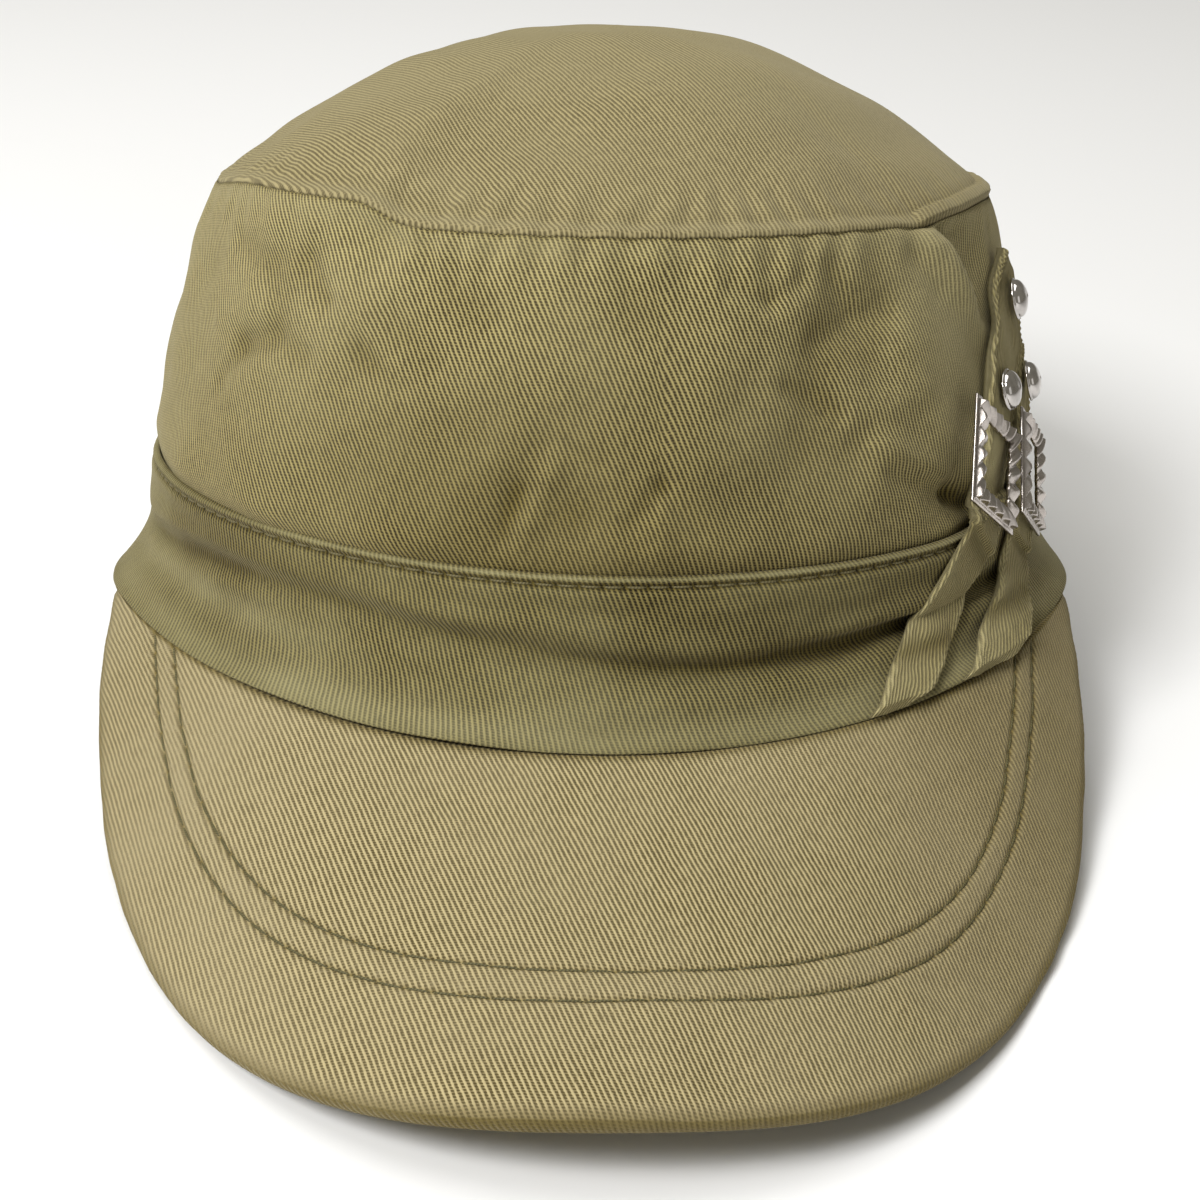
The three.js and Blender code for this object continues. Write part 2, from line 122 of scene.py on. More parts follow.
def wall_relief(angle, level):
    """How far the wall stands out from the straight lines between its two edges."""
    side = turn(angle, 0)
    above = np.maximum(level, 0)
    relief = 1.2 * 4 * above * (1 - above) * (0.6 + 0.8 * above)
    edges = smooth(level, 0, 0.06) * (1 - smooth(level, 0.94, 1))
    for middle, up, wide, tall, deep in wall_dents:
        relief = relief - deep * edges * patch(angle, level, middle, wide, up, tall)
    ridge = 46 + (1 - level) * 25
    strength = smooth(level, 0.45, 0.85) * (1 - smooth(level, 0.93, 1))
    relief = relief + strength * 1.6 * hill((side - ridge) / 4)
    relief = relief - strength * 2 * hill((side - ridge - 7.5) / 5)
    return relief - 3 * pulled_at(angle) * (1 - above**1.5)


def on_wall(angle, level):
    """A point of the wall. Below level 0 it goes straight down behind the band."""
    low = on_oval(band_top, angle)
    point = low + (on_top_seam(angle) - low) * level[..., None]
    point[..., :2] = np.where(level[..., None] < 0, low[..., :2], point[..., :2])
    step = 2 * np.clip(1 - level / 0.25, 0, 1.6) ** 2
    return point + outward(angle) * (wall_relief(angle, level) - step)[..., None]


def swells(points, size, seed):
    """Soft random swells over points: highs and lows about a size in millimetres apart."""
    random = np.random.default_rng(seed)
    total = np.zeros(points.shape[:-1])
    for _ in range(28):
        wave = random.normal(size=3)
        wave *= 2 * math.pi * random.uniform(0.6, 1.4) / (size * np.linalg.norm(wave))
        total += np.sin(points @ wave + random.uniform(0, 2 * math.pi))
    return total / math.sqrt(14)


def unit(vectors):
    return vectors / np.maximum(np.linalg.norm(vectors, axis=-1, keepdims=True), 1e-9)


def facing(points, around):
    """The direction square to a grid of points, which may close on itself along its rows."""
    if around:
        along = np.roll(points, -1, 0) - np.roll(points, 1, 0)
    else:
        along = np.gradient(points, axis=0)
    return unit(np.cross(along, np.gradient(points, axis=1)))


def turned_edge(start, end, ahead, bulge, steps=3):
    """Points that carry the cloth round a folded edge, from one face to the other."""
    middle = (start + end) / 2
    half = (start - end) / 2
    reach = np.linalg.norm(half, axis=-1, keepdims=True) * bulge
    ahead = unit(ahead) * reach
    points = []
    for step in range(1, steps + 1):
        angle = math.pi * step / (steps + 1)
        points.append(middle + half * math.cos(angle) + ahead * math.sin(angle))
    return np.stack(points, 1)


def rested(points):
    """Points of the cap's own frame in metres, on the cap as it rests."""
    x, y, z = np.moveaxis(points, -1, 0)
    back = y * math.cos(rest_lean) + z * math.sin(rest_lean) + rest_place[1]
    up = z * math.cos(rest_lean) - y * math.sin(rest_lean) + rest_place[2]
    return np.stack([x + rest_place[0], back, np.maximum(up, 0)], -1) / 1000


def make_piece(name, points, faces, ends, spots):
    """A piece from its points, its faces and the faces that fill its ends. The spots are where
    the corners of all these lie on the flat cloth."""
    mesh = bpy.data.meshes.new(name)
    mesh.from_pydata(points.tolist(), [], faces.tolist() + [end.tolist() for end in ends])
    cloth_map = mesh.uv_layers.new(name="cloth")
    cloth_map.data.foreach_set("uv", np.concatenate(spots).astype(np.float32).ravel())
    mesh.shade_smooth()
    piece = bpy.data.objects.new(name, mesh)
    bpy.context.scene.collection.objects.link(piece)
    return piece


def sewn_mesh(name, points, place, closed, **marks):
    """A piece that runs through rings of points, one ring to a row. The rows close on
    themselves, or else each end is filled. Place is where each point lies on the flat cloth."""
    rows, ring = points.shape[:2]
    steps = rows if closed else rows - 1
    i, k = np.meshgrid(np.arange(steps), np.arange(ring), indexing="ij")
    i, k = i.ravel(), k.ravel()
    next_i, next_k = (i + 1) % rows, (k + 1) % ring
    corners = [i * ring + k, next_i * ring + k, next_i * ring + next_k, i * ring + next_k]
    faces = np.stack(corners, 1)
    on_cloth = np.stack([place[i, k], place[i + 1, k], place[i + 1, k + 1], place[i, k + 1]], 1)
    flat = rested(points).reshape(-1, 3)
    a, b, c, d = (flat[faces[:, j]] for j in range(4))
    volume = np.sum(np.cross(a, b) * c) + np.sum(np.cross(a, c) * d)
    ends = []
    if not closed:
        ends = [np.arange(ring), (rows - 1) * ring + np.arange(ring)[::-1]]
    if volume < 0:
        faces, on_cloth = faces[:, ::-1], on_cloth[:, ::-1]
        ends = [end[::-1] for end in ends]
    spots = [on_cloth.reshape(-1, 2)] + [place[end // ring, end % ring] for end in ends]
    piece = make_piece(name, flat, faces, ends, spots)
    for mark, amount in marks.items():
        layer = piece.data.attributes.new(mark, "FLOAT", "POINT")
        layer.data.foreach_set("value", np.asarray(amount, np.float32).ravel())
    return piece


def on_face(mark, ring, rest=0, first=0):
    """A mark of a piece's outer face, spread over its whole ring. The face starts at a column:
    nothing is marked before it, and all that follows it has one amount."""
    spread = np.zeros(ring.shape[:2])
    spread[:, first:] = rest
    spread[:, first : first + mark.shape[1]] = mark
    return spread


def reach_along(line):
    """How far along a line each of its points lies."""
    return np.append(0, np.cumsum(np.linalg.norm(np.diff(line, axis=0), axis=-1)))


def along_rows(points):
    """How far round the cap each row of a closed grid lies, with the first again at the end."""
    line = points[:, points.shape[1] // 2]
    return reach_along(np.append(line, line[:1], 0))


def along_ring(points):
    """How far round its ring each point lies, with the ring's first point again at the end."""
    ends = np.append(points, points[:, :1], 1)
    lengths = np.linalg.norm(np.diff(ends, axis=1), axis=-1)
    return np.append(np.zeros((len(points), 1)), np.cumsum(lengths, 1), 1)


def unrolled(face, ring):
    """How far across and up the flat cloth each point of a closed piece lies."""
    across = along_rows(face)
    upward = along_ring(ring)
    return across[:, None] - across[len(face) // 2], np.append(upward, upward[:1], 0)


class Shade:
    """An output of a material's nodes. Arithmetic on it adds the nodes that work it out."""

    def __init__(self, tree, output=None):
        self.tree = tree
        self.output = output

    def node(self, kind, settings=None, sockets=None, take=0):
        node = self.tree.nodes.new(kind)
        for name, value in (settings or {}).items():
            setattr(node, name, value)
        for name, value in (sockets or {}).items():
            if isinstance(value, Shade):
                self.tree.links.new(value.output, node.inputs[name])
            else:
                node.inputs[name].default_value = value
        return Shade(self.tree, node.outputs[take] if node.outputs else None)

    def maths(self, operation, *parts):
        return self.node("ShaderNodeMath", {"operation": operation}, dict(enumerate(parts)))

    def __add__(self, other):
        return self.maths("ADD", self, other)

    def __radd__(self, other):
        return self.maths("ADD", other, self)

    def __sub__(self, other):
        return self.maths("SUBTRACT", self, other)

    def __rsub__(self, other):
        return self.maths("SUBTRACT", other, self)

    def __mul__(self, other):
        return self.maths("MULTIPLY", self, other)

    def __rmul__(self, other):
        return self.maths("MULTIPLY", other, self)

    def __truediv__(self, other):
        return self.maths("DIVIDE", self, other)

    def __pow__(self, other):
        return self.maths("POWER", self, other)

    def swing(self):
        """A wave of the value in turns, from 0 to 1."""
        return self.maths("COSINE", self * (2 * math.pi)) * 0.5 + 0.5

    def between(self, low, high):
        """How far the value has come from low to high, held to 0 and 1."""
        sockets = {"Value": self, "From Min": low, "From Max": high}
        return self.node("ShaderNodeMapRange", {"clamp": True}, sockets)

    def blend(self, colour, other):
        """One colour where the value is 0 and the other where it is 1."""
        return self.node("ShaderNodeMix", {"data_type": "RGBA"}, {0: self, 6: colour, 7: other}, 2)

    def cloth_place(self):
        """Where a point lies on the flat cloth, across it and along it."""
        place = self.node("ShaderNodeUVMap", {"uv_map": "cloth"})
        return [self.node("ShaderNodeSeparateXYZ", None, {0: place}, take) for take in (0, 1)]

    def surface(self, sockets):
        """The finished surface, from what its shader takes."""
        shader = self.node("ShaderNodeBsdfPrincipled", None, sockets)
        self.node("ShaderNodeOutputMaterial", None, {"Surface": shader})


def new_material(name):
    """A material that has no nodes yet, and a Shade to start them from."""
    material = bpy.data.materials.new(name)
    material.use_nodes = True
    material.node_tree.nodes.clear()
    return material, Shade(material.node_tree)


def dye(code, share=1):
    """A colour written as in a dyer's chart, as the light that it reflects, or a share of it."""
    parts = [int(code[i : i + 2], 16) / 255 for i in (1, 3, 5)]
    lights = [p / 12.92 if p < 0.04045 else ((p + 0.055) / 1.055) ** 2.4 for p in parts]
    return (*(share * light for light in lights), 1)


# Twill: slanting ribs of warp, with a pinhole wherever a weft thread dips between two ribs.
rib_pitch = 0.85
weft_pitch = 0.47
weft_slant = 0.087
bump_height = 0.00022
# The brown tint that painted shade darkens the cloth towards.
painted_shade_tint = (0.4, 0.36, 0.19, 1)


def twill(name, rib_colour, groove_shade_colour, faded_and_lit_colour, slant=0.384, grain=1.0):
    """Washed twill, from where each point lies on the flat cloth. One mark pales the colour, for
    faded dye and as painted light; the other darkens it as painted shade."""
    material, start = new_material(name)
    across, along = start.cloth_place()

    def mottle(size, detail=2.0, stretch=1.0, rough=0.5):
        spot = start.node("ShaderNodeCombineXYZ", None, {0: across / size, 1: along / (size * stretch)})
        sockets = {"Vector": spot, "Scale": 1.0, "Detail": detail, "Roughness": rough}
        return start.node("ShaderNodeTexNoise", {"noise_dimensions": "2D"}, sockets)

    sway = (mottle(14, 1.0) - 0.5) * 0.3 + (mottle(2.2, 0.0, 3.0) - 0.5) * 0.12
    ribs = ((across + along * slant + sway) / rib_pitch).swing()
    wefts = ((along + across * weft_slant + sway * 0.6) / weft_pitch).swing()
    slubs = mottle(0.5, 1.0, 5.0)
    fuzz = mottle(0.3, 0.0, 1.6)
    pinholes = (1 - ribs) * wefts
    height = ribs * 0.75 + (1 - pinholes) * 0.25 + slubs * 0.4 + fuzz * 0.3
    light = (ribs**1.8 * 0.52 + (1 - pinholes) * 0.48) * (0.44 + slubs * 0.7 + fuzz * 0.42)
    # The weave's grooves and pinholes take the dark colour and its ribs the light one: painted shade in
    # the weave's recesses, along with the bump.
    colour = light.between(0.28, 0.86).blend(dye(groove_shade_colour), dye(rib_colour))
    broad = mottle(34, 3.0, 1.0, 0.6)
    worn = start.node("ShaderNodeAttribute", {"attribute_name": "worn"}, None, 2)
    soiled = start.node("ShaderNodeAttribute", {"attribute_name": "soiled"}, None, 2)
    # Paling: random broad patches of faded dye, plus the paling mark, which is partly wear and partly
    # painted light.
    fading_and_painted_light = broad.between(0.36, 0.68) * 0.22 + worn * (0.55 + light * 0.45)
    colour = fading_and_painted_light.between(0, 1).blend(colour, dye(faded_and_lit_colour))
    # Darkening: the painted shade mark, a little uneven at random.
    darker = soiled.between(0, 1) * (0.75 + (1 - broad) * 0.5)
    settings = {"data_type": "RGBA", "blend_type": "MULTIPLY"}
    colour = start.node("ShaderNodeMix", settings, {0: darker, 6: colour, 7: painted_shade_tint}, 2)
    weave = {"Height": height, "Strength": 0.75 * grain, "Distance": bump_height}
    sockets = {
        "Base Color": colour,
        "Roughness": 0.92 - ribs * 0.1,
        "Normal": start.node("ShaderNodeBump", None, weave),
        "Sheen Weight": 0.16,
        "Sheen Roughness": 0.5,
        "Sheen Tint": (1, 0.9, 0.62, 1),
        "Specular IOR Level": 0.2,
    }
    start.surface(sockets)
    return material


wall_angles = np.linspace(-180, 180, 760, endpoint=False)[:, None]
wall_levels = np.append(np.linspace(-0.1, 0.9, 74, endpoint=False), np.linspace(0.9, 1, 20))[None]

# The wall's short creases: the angle and level where each starts and ends, its width and its
# depth, which is negative for a ridge.
wall_strokes = [
    (-54.5, 0.4, -51, 0.52, 2.2, 0.6),
    (-51, 0.52, -44.5, 0.58, 2.2, 0.7),
    (-44.5, 0.58, -39, 0.54, 2.2, 0.6),
    (-47, 0.49, -44, 0.5, 3, -0.4),
    (-57, 0.82, -48, 0.78, 2.8, 0.8),
    (-57.5, 0.57, -48, 0.64, 2.2, -0.5),
    (-41.5, 0.81, -37, 0.71, 2, 0.8),
    (-37, 0.71, -31, 0.6, 2.2, 0.3),
    (-31, 0.6, -25, 0.52, 2.2, 0.8),
    (-18.5, 0.43, -15, 0.39, 2.4, 0.7),
    (-27.5, 0.72, -21.5, 0.59, 2.2, 0.35),
    (-10.5, 0.27, -12, 0.12, 1.8, 0.8),
    (-6, 0.36, -9, 0.16, 1.8, -0.8),
    (-8, 0.39, -1.5, 0.36, 1.8, 0.55),
    (2, 0.17, 5.5, 0.29, 1.5, 0.6),
    (5.5, 0.29, 9.5, 0.15, 1.5, 0.6),
    (5.2, 0.1, 5.6, 0.2, 1.8, -0.5),
    (13.5, 0.85, 19, 0.81, 1.5, 0.6),
    (19, 0.81, 23.5, 0.86, 1.5, 0.6),
    (27.5, 0.9, 31, 0.76, 2, 0.6),
    (25.5, 0.69, 36, 0.75, 2.6, 1),
    (30, 0.8, 33, 0.8, 4, 0.5),
    (20.5, 0.55, 27, 0.46, 1.9, 0.9),
    (28, 0.44, 40, 0.5, 2.6, -0.6),
    (32.5, 0.35, 43, 0.21, 1.9, -0.7),
    (34, 0.25, 45.5, 0.13, 1.9, 0.8),
    (45, 0.12, 49, 0.06, 1.7, 1.7),
    (42.5, 0.91, 46, 0.8, 2.4, 0.6),
]


def wall_creases(angle, level):
    """How far the short creases and ridges move the wall's cloth outward."""
    per_degree = math.radians(1) * wall_radius
    total = 0 * (angle + level)
    for start_angle, start_level, end_angle, end_level, wide, deep in wall_strokes:
        x = (turn(angle, 0) - start_angle) * per_degree
        y = (level - start_level) * wall_tall
        run_x = (end_angle - start_angle) * per_degree
        run_y = (end_level - start_level) * wall_tall
        share = np.clip((x * run_x + y * run_y) / (run_x**2 + run_y**2), 0, 1)
        total -= deep * hill(np.hypot(x - share * run_x, y - share * run_y) / wide)
    return total


def seam_gathers(angle, point):
    """The small even puckers that the seam's own stitches draw in the cloth beside them."""
    side = turn(angle, 0)
    beat = (np.radians(side) * 76 + 1.1 * swells(point, 26, 3)) * 2 * math.pi / 7.2
    front = smooth(side, -40, -24) * (1 - smooth(side, 30, 42))
    return np.cos(beat) * (0.45 + 0.55 * front)


def wall_folds(angle, level, point):
    """What lies on the wall beside its main shape: puckers along the seam, the pinched corner
    and the soft dents of cloth that has been used and washed."""
    side = turn(angle, 0)
    from_seam = (1 - level) * wall_tall
    folds = 0.36 * seam_gathers(angle, point) * hill((from_seam - 3.2) / 3.8)
    folds -= 0.4 * hill(from_seam / 0.8)
    folds += 0.4 * swells(point, 34, 5) * smooth(from_seam, 0, 10)
    folds += 0.17 * swells(point, 13, 8) * smooth(from_seam, 0, 5)
    folds += wall_creases(angle, level)
    folds *= smooth(level, -0.02, 0.08)
    above = np.maximum(level, 0)
    step = np.clip(1 - above / 0.25, 0, 1) ** 2 - np.clip(1 - above / 0.1, 0, 1) ** 2
    folds += 1.7 * step * (level > 0) + 2.6 * smooth(-level, 0, 0.1)
    ridge = 46.5 + (1 - level) * 24
    pinch = smooth(level, 0.5, 0.8) * (1 - smooth(level, 0.97, 1))
    folds += 0.9 * pinch * hill((side - ridge + 0.5) / 2.4)
    folds -= 1.3 * pinch * hill((side - ridge - 3.6) / 2.2)
    folds -= 0.7 * hill((side + 31) / 2.2) * hill((from_seam - 4) / 5)
    folds += 0.5 * hill((side + 27.5) / 2.4) * hill((from_seam - 4) / 6)
    return folds


def seam_edge(angle, gap=0):
    """The inner line of an edge that is turned in at the top seam."""
    edge = on_top_seam(angle) - outward(angle) * seam_turn
    edge[:, 2] -= 0.87 + gap
    return edge


def between_edges(start, end):
    return np.stack([start * (1 - t) + end * t for t in (0.33, 0.67)], 1)


wall = on_wall(wall_angles, wall_levels)
wall_hollows = -wall_folds(wall_angles, wall_levels, wall)
wall_inside = wall - outward(wall_angles) * (np.maximum(wall_hollows, 0) + crown_cloth)[..., None]
wall -= facing(wall, True) * wall_hollows[..., None]
wall[:, -1] = on_top_seam(wall_angles[:, 0])
wall[:, -1, 2] -= seam_gap
wall_inside[:, -1] = seam_edge(wall_angles[:, 0], seam_gap)
inside = wall_inside[:, [*range(0, 90, 4), -1]]
top_turn = between_edges(wall[:, -1], inside[:, -1])
low_turn = turned_edge(inside[:, 0], wall[:, 0], wall[:, 0] - wall[:, 1], 0.8)
wall_ring = np.concatenate([wall, top_turn, inside[:, ::-1], low_turn], 1)

# The strip is cut to a slight curve, so its ribs turn as they go round from the front.
curve_radius = 306
curve_height = 27
rib_spread = 1.04
across, upward = unrolled(wall, wall_ring)
curve = across / curve_radius * (1 - smooth(np.abs(across), 120, 255))
across_curve = rib_spread * (across - (upward - curve_height) * np.tan(curve))
wall_place = np.stack([across_curve, upward + 0.5 * across * curve], -1)

from_seam = (1 - wall_levels) * wall_tall + 0 * wall_angles
# The wall's paling, partly worn dye and partly painted light: along the seam's welt, across the middle,
# towards the sides and beside the front strap.
wall_worn = 0.25 * hill((from_seam - 2) / 1.6) + 0.1 * hill((wall_levels - 0.55) / 0.3)
wall_worn += 0.3 * smooth(np.abs(wall_angles), 52, 80)
wall_worn += 0.5 * hill((wall_angles - 50) / 10) * smooth(wall_levels, 0.15, 0.45)
# The wall's painted shade: the band's shadow just above its edge, the dents and creases, the front
# darker towards the bottom, the pit beside the front buckle, a soft patch on the wearer's right front,
# the wearer's right side, and the groove of the top seam.
wall_soiled = 0.35 * hill((wall_levels + 0.02) / 0.05) + 0.3 * smooth(wall_hollows, 0.2, 1.4)
wall_soiled += 0.66 * hill((wall_angles + 6) / 42) * (1 - smooth(wall_levels, 0, 1))
wall_soiled += 0.9 * patch(wall_angles, wall_levels, 47, 2.6, 0.09, 0.06)
wall_soiled += 0.14 * patch(wall_angles, wall_levels, -22, 15, 0.35, 0.25)
wall_soiled += 0.2 * smooth(-wall_angles, 30, 60) * (1 - 0.7 * wall_levels)
wall_soiled += 0.5 * hill(from_seam / 0.7)
worn, soiled = on_face(wall_worn, wall_ring), on_face(wall_soiled, wall_ring)
side_wall = sewn_mesh("side_wall", wall_ring, wall_place, True, worn=worn, soiled=soiled)
side_wall.data.materials.append(twill("wall_twill", "#aea16d", "#342a14", "#968d68", 0.45))
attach(side_wall, "root")
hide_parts("crown_side")

# The top panel is an oval of the same twill, eased into the seam so that it stands as a low
# dome. Its turned edge makes a narrow raised welt all round, which is thickest beyond the pinched
# corner on the wearer's left.
summit = np.array([4, 14, 96.6])
top_reach = 74
top_angles = wall_angles
top_shares = np.append(np.linspace(0, 0.93, 60, endpoint=False), np.linspace(0.93, 1, 26))[None]


def on_dome(angle, share):
    """A point of the top panel: the share runs from 0 at the summit to 1 at the seam."""
    seam = on_top_seam(angle)
    point = summit + (seam - summit) * share[..., None]
    point[..., 2] = summit[2] + (seam[..., 2] - summit[2]) * share**2.12
    return point


def dome_folds(angle, share, point):
    """The welt and gathers along the seam, the dip behind the pucker, and soft swells."""
    from_seam = (1 - share) * top_reach
    side = turn(angle, 0)
    beyond = smooth(side, 44.8, 46.8) * (1 - smooth(side, 85, 120))
    thick = 0.1 + 0.05 * swells(point, 9, 13) + 0.95 * beyond
    welt = smooth(from_seam, 0, 0.4) * (1 - smooth(from_seam - 1.1 * beyond, 0.9, 1.7))
    folds = thick * welt - 0.18 * hill((from_seam - 2.3) / 0.7)
    folds += 0.3 * seam_gathers(angle, point) * hill((from_seam - 4) / 4)
    folds -= 0.5 * hill(from_seam / 0.35)
    folds -= 0.9 * hill((side - 40) / 4.5) * hill((from_seam - 7) / 6)
    folds += 0.42 * swells(point, 42, 11) * smooth(from_seam, 2, 16)
    folds += 0.1 * swells(point, 15, 12) * smooth(from_seam, 1, 8)
    return folds * smooth(share, 0, 0.1)


dome = on_dome(top_angles, top_shares)
dome_square = facing(dome, True)
dome_square[:, :2] = [0, 0, 1]
dome_square *= np.sign(dome_square[..., 2:])
dome += dome_square * dome_folds(top_angles, top_shares, dome)[..., None]
inner_turn = seam_edge(top_angles[:, 0])
dome_inside = on_dome(top_angles, np.array([[0, 0.2, 0.4, 0.6, 0.75, 0.88, 0.96]]))
dome_inside[..., 2] -= crown_cloth * 1.12
dome_inside = np.append(dome_inside, inner_turn[:, None], 1)
dome_ring = np.concatenate([dome, between_edges(dome[:, -1], inner_turn), dome_inside[:, ::-1]], 1)

# The panel's ribs run from front to back, and bend a little where it is eased into the seam.
x, y = dome_ring[..., 0], dome_ring[..., 1]
before = -20 * np.log1p(np.exp(-y / 20))
across = 0.895 * x + 0.0036 * y - (0.076 * x**2 + 0.13 * x * before + 0.034 * before**2) / 50
dome_place = np.stack([across, 1.05 * y], -1)
dome_place = np.append(dome_place, dome_place[:1], 0)
dome_place = np.append(dome_place, dome_place[:, :1], 1)

from_seam = (1 - top_shares) * top_reach + 0 * top_angles
# The top panel's paling, partly worn dye and partly painted light: along the welt, a little all over,
# and more towards the back and the wearer's left.
dome_worn = 0.3 * hill((from_seam - 1.2) / 1.2) + 0.15 + 0.3 * smooth(dome[..., 1], -50, -12)
dome_worn += 0.3 * smooth(dome[..., 1], -15, 20) + 0.3 * smooth(dome[..., 0], 10, 60)
# Its painted shade: a line under the welt, and darker towards the wearer's left side.
dome_soiled = 0.12 * hill((from_seam - 3.4) / 1.1) + 0.2 * smooth(dome[..., 0], 20, 62)
worn, soiled = on_face(dome_worn, dome_ring), on_face(dome_soiled, dome_ring)
top_panel = sewn_mesh("top_panel", dome_ring, dome_place, True, worn=worn, soiled=soiled)
top_twill = twill("top_twill", "#a4976b", "#473d22", "#8e8463", 0.384, 0.65)
top_panel.data.materials.append(top_twill)
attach(top_panel, "root")
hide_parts("crown_top")

# The band is a narrow double strip of twill round the lower edge. Its upper edge is a fold with a
# row of topstitching below it, and it flares out over the peak. Wear has creased it lengthwise.
rim_oval = {"width": 93.4, "depth": 94.5, "height": 0, "x": 0, "y": 0, "lean": 0}
band_cloth = 1.6
stitch_row = 1.5
band_stitch_count = 150
# The band's broad creases: the angle and level of the middle, the bend, the angles where the
# crease starts and ends, and how deep and wide it is.
band_creases = [
    (8, 0.41, 0.00005, -30, 66, 1.1, 0.13),
    (36, 0.49, 0.0003, 14, 60, 1.1, 0.12),
    (180, 0.5, 0, 120, 240, 0.8, 0.15),
]
# The long valley that wear has pressed into the band: angle, level and depth.
band_valley = np.array(
    [
        (-84, 0.36, 0),
        (-60, 0.56, 0.8),
        (-38, 0.68, 0.75),
        (-24, 0.64, 0.6),
        (-12, 0.57, 0.6),
        (0, 0.47, 0.7),
        (9, 0.42, 0.9),
        (20, 0.43, 1.2),
        (36, 0.45, 1.45),
        (50, 0.47, 1.2),
        (62, 0.48, 0),
    ]
)


def on_rim(angle, inset=0):
    """The band's lower edge, which dips over the peak and droops at the wearer's right."""
    side = turn(angle, 0)
    narrower = 3.2 * smooth(np.abs(side), 68, 94)
    narrower = narrower + 2.4 * smooth(-side, 76, 100) * (1 - smooth(-side, 140, 175))
    point = on_oval(rim_oval, angle, inset + narrower)
    ahead = np.maximum(np.cos(np.radians(angle)), 0)
    point[..., 2] -= 8.4 * ahead * ahead + 3.2 * hill((side + 93) / 19)
    return point


def on_band(angle, level, inset=0):
    """A point of the band: the level runs from 0 at its lower edge to 1 at its upper edge."""
    low = on_rim(angle, inset)
    high = on_oval(band_top, angle, inset)
    level = np.asarray(level, float)
    side = turn(angle, 0)
    point = low + (high - low) * (1 - (1 - level) ** 4)[..., None]
    lift = 1.5 * hill((side + 36) / 36) + 0.5 * hill((side - 12) / 22) - 0.5 * hill((side - 48) / 12)
    lift = lift - 1.4 * hill((side + 88) / 12)
    point[..., 2] = low[..., 2] + (high[..., 2] - low[..., 2]) * level + lift * level**2
    inward = 3 * pulled_at(angle) * smooth(level, 0.1, 1)
    for middle, up, bend, start, end, deep, wide in band_creases:
        line = up + bend * turn(angle, middle) ** 2
        half = (end - start) / 2
        fade = 1 - smooth(np.abs(turn(angle, start + half)), half * 0.55, half)
        inward = inward + deep * fade * hill((level - line) / wide)
    return point - outward(angle) * inward[..., None]


def table_at(table, column, at, shifts):
    """A column of a table between its rows, averaged over a few shifts to round its corners."""
    total = sum(np.interp(at + shift, table[:, 0], table[:, column]) for shift in shifts)
    return total / len(shifts)


def valley_at(angle):
    """The level and the depth of the band's valley."""
    return [table_at(band_valley, column, turn(angle, 0), (-6, -3, 0, 3, 6)) for column in (1, 2)]


def band_folds(angle, level, point, tall, holes):
    """What lies on the band beside its main shape: the folded edge, the sunken stitch row, soft
    swells and the valley."""
    side = turn(angle, 0)
    from_top = (1 - level) * tall
    folds = 0.15 * hill((from_top - 0.6) / 0.4) - 0.42 * hill((from_top - stitch_row) / 0.6)
    folds -= 0.5 * (1 - smooth(from_top, 0, 3.4)) + 0.7 * np.clip(1 - from_top / 0.8, 0, 1) ** 2
    folds -= 0.3 * holes * hill((from_top - stitch_row) / 0.6)
    still = 1 - 0.85 * hill((side + 86) / 12)
    folds += 0.3 * still * swells(point * [0.5, 0.5, 2.2], 22, 21) * smooth(from_top, 3, 7)
    folds += 0.16 * still * swells(point * [0.4, 0.4, 2], 9, 22) * smooth(from_top, 3, 6)
    valley_level, valley_depth = valley_at(angle)
    above = level - valley_level
    wide = 0.055 + 0.035 * smooth(-side, 15, 50)
    folds += valley_depth * (0.65 * hill((above - 0.13) / 0.07) - hill(above / wide))
    folds += 0.4 * valley_depth * hill((above + 0.16) / 0.08)
    return folds


band_angles = np.linspace(-180, 180, 800, endpoint=False)[:, None]
band_levels = np.append(np.linspace(0, 0.78, 38, endpoint=False), np.linspace(0.78, 1, 22))[None]
band_outside = on_band(band_angles, band_levels)
band_tall = band_outside[:, -1:, 2] - band_outside[:, :1, 2]
band_square = facing(band_outside, True)
band_square *= np.sign(np.sum(band_square * outward(band_angles), -1, keepdims=True))
row_reach = along_rows(on_band(band_angles, np.array([[0.91]])))[:, None]
band_beat = np.cos(2 * math.pi * band_stitch_count * row_reach[:-1] / row_reach[-1])
band_holes = smooth(band_beat, 0.6, 1)
band_relief = band_folds(band_angles, band_levels, band_outside, band_tall, band_holes)
band_outside = band_outside + band_square * band_relief[..., None]
band_inside = on_band(band_angles, band_levels, band_cloth)
band_inside += outward(band_angles) * (np.minimum(band_relief, 0) * (band_levels < 0.85))[..., None]
band_inside = band_inside[:, [*range(0, 56, 4), -1]]
low_edge, high_edge = band_outside[:, 0], band_outside[:, -1]
top_turn = turned_edge(high_edge, band_inside[:, -1], high_edge - band_outside[:, -3], 0.75)
low_turn = turned_edge(band_inside[:, 0], low_edge, low_edge - band_outside[:, 2], 0.4)
band_ring = np.concatenate([band_outside, top_turn, band_inside[:, ::-1], low_turn], 1)
band_place = np.stack(np.broadcast_arrays(*unrolled(band_outside, band_ring)), -1)

from_top = (1 - band_levels) * band_tall
front = smooth(np.cos(np.radians(band_angles)), 0.1, 0.7)
# The band's paling, partly worn dye and partly painted light: a painted highlight on the folded top
# edge, the lower edge at the front, the sides, and a patch of painted light low on the wearer's right.
band_worn = 0.8 * hill((from_top - 0.3) / 0.25) * (1 - 0.6 * smooth(-band_angles, 50, 80))
band_worn += 0.5 * hill(band_levels / 0.2) * front + 0.3 * smooth(np.abs(band_angles), 55, 80)
band_worn += 0.4 * patch(band_angles, band_levels, -52, 17, 0.36, 0.1)
